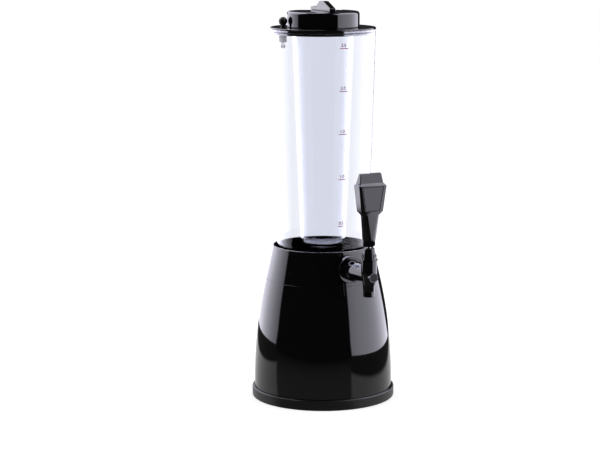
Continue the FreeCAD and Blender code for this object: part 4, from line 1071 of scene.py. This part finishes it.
def add_world(settings):
    """White behind and through the object, dark in its gloss, even on matt surfaces."""
    world = bpy.data.worlds.new("Studio")
    bpy.context.scene.world = world
    world.use_nodes = True
    tree = world.node_tree
    tree.nodes.clear()
    path, mirrored = ways_of_seeing(tree)
    through = path["Is Transmission Ray"]
    seen = add_node(
        tree, "ShaderNodeMath", {0: path["Is Camera Ray"], 1: through}, operation="MAXIMUM")
    white = add_node(
        tree, "ShaderNodeMapRange", {"Value": through, "To Min": 1, "To Max": settings.veil})
    fill = add_node(
        tree, "ShaderNodeMix", {0: seen, 6: (settings.fill,) * 3 + (1,), 7: white},
        data_type="RGBA")
    dark = (0.012, 0.012, 0.02, 1)
    light = add_node(
        tree, "ShaderNodeMix", {0: mirrored, 6: fill.outputs[2], 7: dark}, data_type="RGBA")
    surround = add_node(tree, "ShaderNodeBackground", {"Color": light.outputs[2]})
    add_node(tree, "ShaderNodeOutputWorld", {"Surface": surround})


def add_turn(tree):
    """A point's place as the camera's side sees it, the three measures of that place, and
    the point's direction from that side: 0 to 1 for -180 to 180 degrees."""
    place = add_node(tree, "ShaderNodeTexCoord").outputs["Object"]
    faced = add_node(
        tree, "ShaderNodeMapping",
        {"Vector": place, "Rotation": (0, 0, -math.radians(CAMERA_TURN))})
    along = add_node(tree, "ShaderNodeSeparateXYZ", {"Vector": faced}).outputs
    towards = add_node(tree, "ShaderNodeMath", {0: along["Y"], 1: -1}, operation="MULTIPLY")
    turn = add_node(tree, "ShaderNodeMath", {0: along["X"], 1: towards}, operation="ARCTAN2")
    return faced, along, add_node(
        tree, "ShaderNodeMapRange",
        {"Value": turn, "From Min": -math.pi, "From Max": math.pi})


def add_floor(settings):
    """A white floor that keeps a shadow. Gloss sees painted light on it: a white sheet on a
    dark mat, lit behind two lines, with painted shade before them.
    """
    bm = bmesh.new()
    bmesh.ops.create_grid(bm, x_segments=1, y_segments=1, size=12)
    material = new_material("White paper sheet")
    tree = material.node_tree
    place, along, _ = add_turn(tree)
    # Painted light: the sheet counts as lit by the softboxes behind two lines that run out from
    # the tower.
    sides, blur = [], 0.006
    for across, offset in (((-0.087, 0.996, 0), 0.062), ((0.676, 0.737, 0), 0.032)):
        beyond = add_node(
            tree, "ShaderNodeVectorMath", {0: place, 1: across}, operation="DOT_PRODUCT")
        sides.append(add_node(
            tree, "ShaderNodeMapRange",
            {"Value": beyond.outputs["Value"], "From Min": -offset - blur,
             "From Max": -offset + blur}))
    lit = add_node(tree, "ShaderNodeMath", dict(enumerate(sides)), operation="MAXIMUM")
    # The sheet narrows away from the camera, on its left side.
    slant = add_node(
        tree, "ShaderNodeVectorMath", {0: place, 1: (1, -settings.sheet_slant, 0)},
        operation="DOT_PRODUCT")
    aside = 0.0775
    off_centre = add_node(
        tree, "ShaderNodeMath", {0: slant.outputs["Value"], 1: aside}, operation="ADD")
    beside = add_node(tree, "ShaderNodeMath", {0: off_centre}, operation="ABSOLUTE")
    width = add_node(
        tree, "ShaderNodeMath", {0: along["Y"], 1: settings.sheet_slant, 2: beside},
        operation="MULTIPLY_ADD")
    # The sheet's painted light is brighter away from the camera, and its edge is soft.
    painted_sheet_light = add_node(
        tree, "ShaderNodeMapRange",
        {"Value": along["Y"], "From Min": -0.1, "From Max": 0.35, "To Min": 0.62,
         "To Max": 1.2})
    mat_light, soft = 0.06, 0.03
    sheet = add_node(
        tree, "ShaderNodeMapRange",
        {"Value": width, "From Min": settings.sheet - soft, "From Max": settings.sheet + soft,
         "To Min": painted_sheet_light, "To Max": mat_light}, interpolation_type="SMOOTHSTEP")
    # In front of those two lines lies painted shade: dim, and darker further out.
    distance = add_node(tree, "ShaderNodeVectorMath", {0: place}, operation="LENGTH")
    painted_shade = add_node(
        tree, "ShaderNodeMapRange",
        {"Value": distance.outputs["Value"], "From Min": 0.15, "From Max": 0.8,
         "To Min": 0.17, "To Max": 0.02}, interpolation_type="SMOOTHSTEP")
    painted_gloss_light = add_node(
        tree, "ShaderNodeMix", {0: lit, 2: painted_shade, 3: sheet}, data_type="FLOAT")
    # Gloss sees this painted light and shade as the floor's glow.
    painted_floor_light = add_node(tree, "ShaderNodeEmission", {"Strength": painted_gloss_light})
    paper = add_node(tree, "ShaderNodeBsdfDiffuse", {"Color": (0.8, 0.8, 0.8, 1)})
    path, mirrored = ways_of_seeing(tree)
    # The camera sees the paper brighter than the light on it makes it.
    glow_light = add_node(
        tree, "ShaderNodeMath", {0: path["Is Camera Ray"], 1: 0.45}, operation="MULTIPLY")
    glow = add_node(tree, "ShaderNodeEmission", {"Strength": glow_light})
    white = add_node(tree, "ShaderNodeAddShader", {0: paper, 1: glow})
    # Through clear plastic it has one even brightness.
    veiled = add_node(tree, "ShaderNodeEmission", {"Strength": settings.veil})
    straight = add_node(
        tree, "ShaderNodeMixShader", {0: path["Is Transmission Ray"], 1: white, 2: veiled})
    surface = add_node(tree, "ShaderNodeMixShader", {0: mirrored, 1: straight, 2: painted_floor_light})
    add_node(tree, "ShaderNodeOutputMaterial", {"Surface": surface})
    add_stage_mesh("floor", bm, material)


def set_stops(ramp, stops):
    """Sets a ramp's places and greys."""
    while len(ramp.elements) < len(stops):
        ramp.elements.new(0.5)
    for element, (place, grey) in zip(ramp.elements, stops):
        element.position = place
        element.color = (grey, grey, grey, 1)


def add_round_wall(settings):
    """The studio's far floor and round wall, which only gloss sees."""
    bm = bmesh.new()
    ground, top = 0.002, 6
    profile = [(settings.mat, ground), (settings.wall, ground), (settings.wall, top)]
    corners = [bm.verts.new((radius, 0, height)) for radius, height in profile]
    lines = [bm.edges.new(pair) for pair in zip(corners, corners[1:])]
    bmesh.ops.spin(
        bm, geom=corners + lines, cent=(0, 0, 0), axis=(0, 0, 1), dvec=(0, 0, 0),
        angle=FULL_TURN, steps=128, use_merge=True)
    # The mat lies to the left of the tower and towards the camera.
    shift = direction(CAMERA_TURN) * 0.25 - direction(CAMERA_TURN + 90) * 0.15
    inner = [v for v in bm.verts if v.co.xy.length < settings.mat + 0.01]
    bmesh.ops.translate(bm, vec=shift, verts=inner)
    material = new_material("Softbox cloth")
    tree = material.node_tree
    _, along, turn = add_turn(tree)
    light = add_node(tree, "ShaderNodeValToRGB", {"Fac": turn})
    brightest = 4.0
    set_stops(
        light.color_ramp,
        [((degrees + 180) / 360, value / brightest) for degrees, value in WALL_LIGHT])
    # The softboxes are brighter near their lamps, above the tower.
    strongest = brightest * settings.gloss
    rise = add_node(
        tree, "ShaderNodeMapRange",
        {"Value": along["Z"], "From Min": 1.2, "From Max": 3.6, "To Min": strongest,
         "To Max": 1.7 * strongest})
    full = add_node(tree, "ShaderNodeMath", {0: light, 1: rise}, operation="MULTIPLY")
    # A black flag far behind the tower darkens level surfaces. It hangs round 0.74 m high.
    flag_height, half_flag = 0.74, 0.22
    from_behind = add_node(tree, "ShaderNodeMath", {0: turn, 1: 0.5}, operation="PINGPONG")
    behind = add_node(
        tree, "ShaderNodeMapRange",
        {"Value": from_behind, "From Min": 0.08, "From Max": 0.09, "To Min": 1, "To Max": 0})
    level = add_node(
        tree, "ShaderNodeMath", {0: along["Z"], 1: flag_height, 2: half_flag},
        operation="COMPARE")
    flag = add_node(tree, "ShaderNodeMath", {0: behind, 1: level}, operation="MULTIPLY")
    # A tall dark gap on the right, between the softbox and the background, draws the right
    # outlines, but not inside the clear plastic.
    path, mirrored = ways_of_seeing(tree)
    gap_turn, half_gap = 0.945, 0.052
    gap = add_node(
        tree, "ShaderNodeMath", {0: turn, 1: gap_turn, 2: half_gap}, operation="COMPARE")
    outside = add_node(
        tree, "ShaderNodeMath", {0: gap, 1: path["Is Transmission Ray"]},
        operation="SUBTRACT", use_clamp=True)
    dark = add_node(tree, "ShaderNodeMath", {0: flag, 1: outside}, operation="MAXIMUM")
    black, cold_white = 0.03, (0.97, 0.96, 1.1, 1)
    strength = add_node(
        tree, "ShaderNodeMix", {0: dark, 2: full, 3: black}, data_type="FLOAT")
    glow = add_node(
        tree, "ShaderNodeEmission", {"Color": cold_white, "Strength": strength})
    # Whatever looks straight or through plastic sees past the wall.
    clear = add_node(tree, "ShaderNodeBsdfTransparent")
    surface = add_node(tree, "ShaderNodeMixShader", {0: mirrored, 1: clear, 2: glow})
    add_node(tree, "ShaderNodeOutputMaterial", {"Surface": surface})
    wall = add_stage_mesh("round_wall", bm, material)
    wall.visible_camera = False
    wall.visible_diffuse = False
    wall.visible_shadow = False
    wall.visible_volume_scatter = False


def add_stage_mesh(name, bm, material):
    """Makes an object of the stage."""
    mesh = mesh_of(bm, name)
    mesh.materials.append(material)
    thing = new_object(name, mesh)
    return thing


def add_lamp(name, turn, power):
    """A broad lamp for the matt surfaces, out of sight of gloss."""
    light = bpy.data.lights.new(name, "AREA")
    light.shape = "RECTANGLE"
    light.size, light.size_y = 1.2, 1.8
    light.energy = power
    lamp = new_object(name, light)
    distance, height, aim_height = 2.0, 1.1, 0.25
    lamp.location = direction(turn) * distance + Vector((0, 0, height))
    aim = Vector((0, 0, aim_height)) - lamp.location
    lamp.rotation_euler = aim.to_track_quat("-Z", "Y").to_euler()
    lamp.visible_glossy = False
    lamp.visible_camera = False
    lamp.visible_transmission = False


def add_camera():
    """A long lens from the left of the front, a little above the tower."""
    data = bpy.data.cameras.new("Camera")
    data.sensor_width = 36
    data.lens = 116.56
    data.shift_x, data.shift_y = -0.0383, -0.0417
    data.clip_end = 100
    camera = new_object("Camera", data)
    camera.location = direction(CAMERA_TURN) * CAMERA_DISTANCE
    camera.location.z = CAMERA_HEIGHT
    camera.rotation_euler = (math.radians(90 - CAMERA_PITCH), 0, math.radians(CAMERA_TURN))
    bpy.context.scene.camera = camera


class TOWER_OT_studio(Operator):
    """Sets up the floor, the softboxes, the lamps, the world and the camera"""

    bl_idname = "drinks_tower.studio"
    bl_label = "Studio"

    def execute(self, context):
        settings = tower().studio
        add_world(settings)
        add_floor(settings)
        add_round_wall(settings)
        add_lamp("lamp_left", CAMERA_TURN - 100, settings.lamp)
        add_lamp("lamp_right", CAMERA_TURN + 95, settings.lamp)
        add_camera()
        context.scene.view_settings.view_transform = "Standard"
        return {"FINISHED"}


# ---------------------------------------------------------------- panel and registering


class TowerSettings(PropertyGroup):
    """Everything that can be set on the tower."""

    housing: PointerProperty(type=HousingSizes)
    vessel: PointerProperty(type=VesselSizes)
    lid: PointerProperty(type=LidSizes)
    tap: PointerProperty(type=TapSizes)
    finishes: PointerProperty(type=Finishes)
    studio: PointerProperty(type=StudioSettings)


OPERATORS = (
    TOWER_OT_base, TOWER_OT_pedestal, TOWER_OT_collar, TOWER_OT_tank, TOWER_OT_scale,
    TOWER_OT_ice_tube, TOWER_OT_lid, TOWER_OT_cap, TOWER_OT_vent, TOWER_OT_tap,
    TOWER_OT_lever, TOWER_OT_fittings, TOWER_OT_studio,
)


class TOWER_PT_panel(Panel):
    """Lists the pieces and their settings"""

    bl_idname = "TOWER_PT_panel"
    bl_label = "Drinks tower"
    bl_space_type = "VIEW_3D"
    bl_region_type = "UI"
    bl_category = "Drinks tower"

    def draw(self, context):
        for operator in OPERATORS:
            self.layout.operator(operator.bl_idname)
        for part in TowerSettings.__annotations__:
            group = getattr(tower(), part)
            column = self.layout.box().column()
            for name in group.__annotations__:
                column.prop(group, name)


GROUPS = (
    HousingSizes, VesselSizes, LidSizes, TapSizes, Finishes, StudioSettings, TowerSettings,
)


def register():
    for part in GROUPS + OPERATORS + (TOWER_PT_panel,):
        bpy.utils.register_class(part)
    bpy.types.Scene.drinks_tower = PointerProperty(type=TowerSettings)


def unregister():
    del bpy.types.Scene.drinks_tower
    for part in reversed(GROUPS + OPERATORS + (TOWER_PT_panel,)):
        bpy.utils.unregister_class(part)


def main():
    register()
    bpy.ops.drinks_tower.base()
    bpy.ops.drinks_tower.pedestal()
    bpy.ops.drinks_tower.collar()
    bpy.ops.drinks_tower.tank()
    bpy.ops.drinks_tower.scale()
    bpy.ops.drinks_tower.ice_tube()
    bpy.ops.drinks_tower.lid()
    bpy.ops.drinks_tower.cap()
    bpy.ops.drinks_tower.vent()
    bpy.ops.drinks_tower.tap()
    bpy.ops.drinks_tower.lever()
    bpy.ops.drinks_tower.fittings()
    bpy.ops.drinks_tower.studio()


if __name__ == "__main__":
    main()
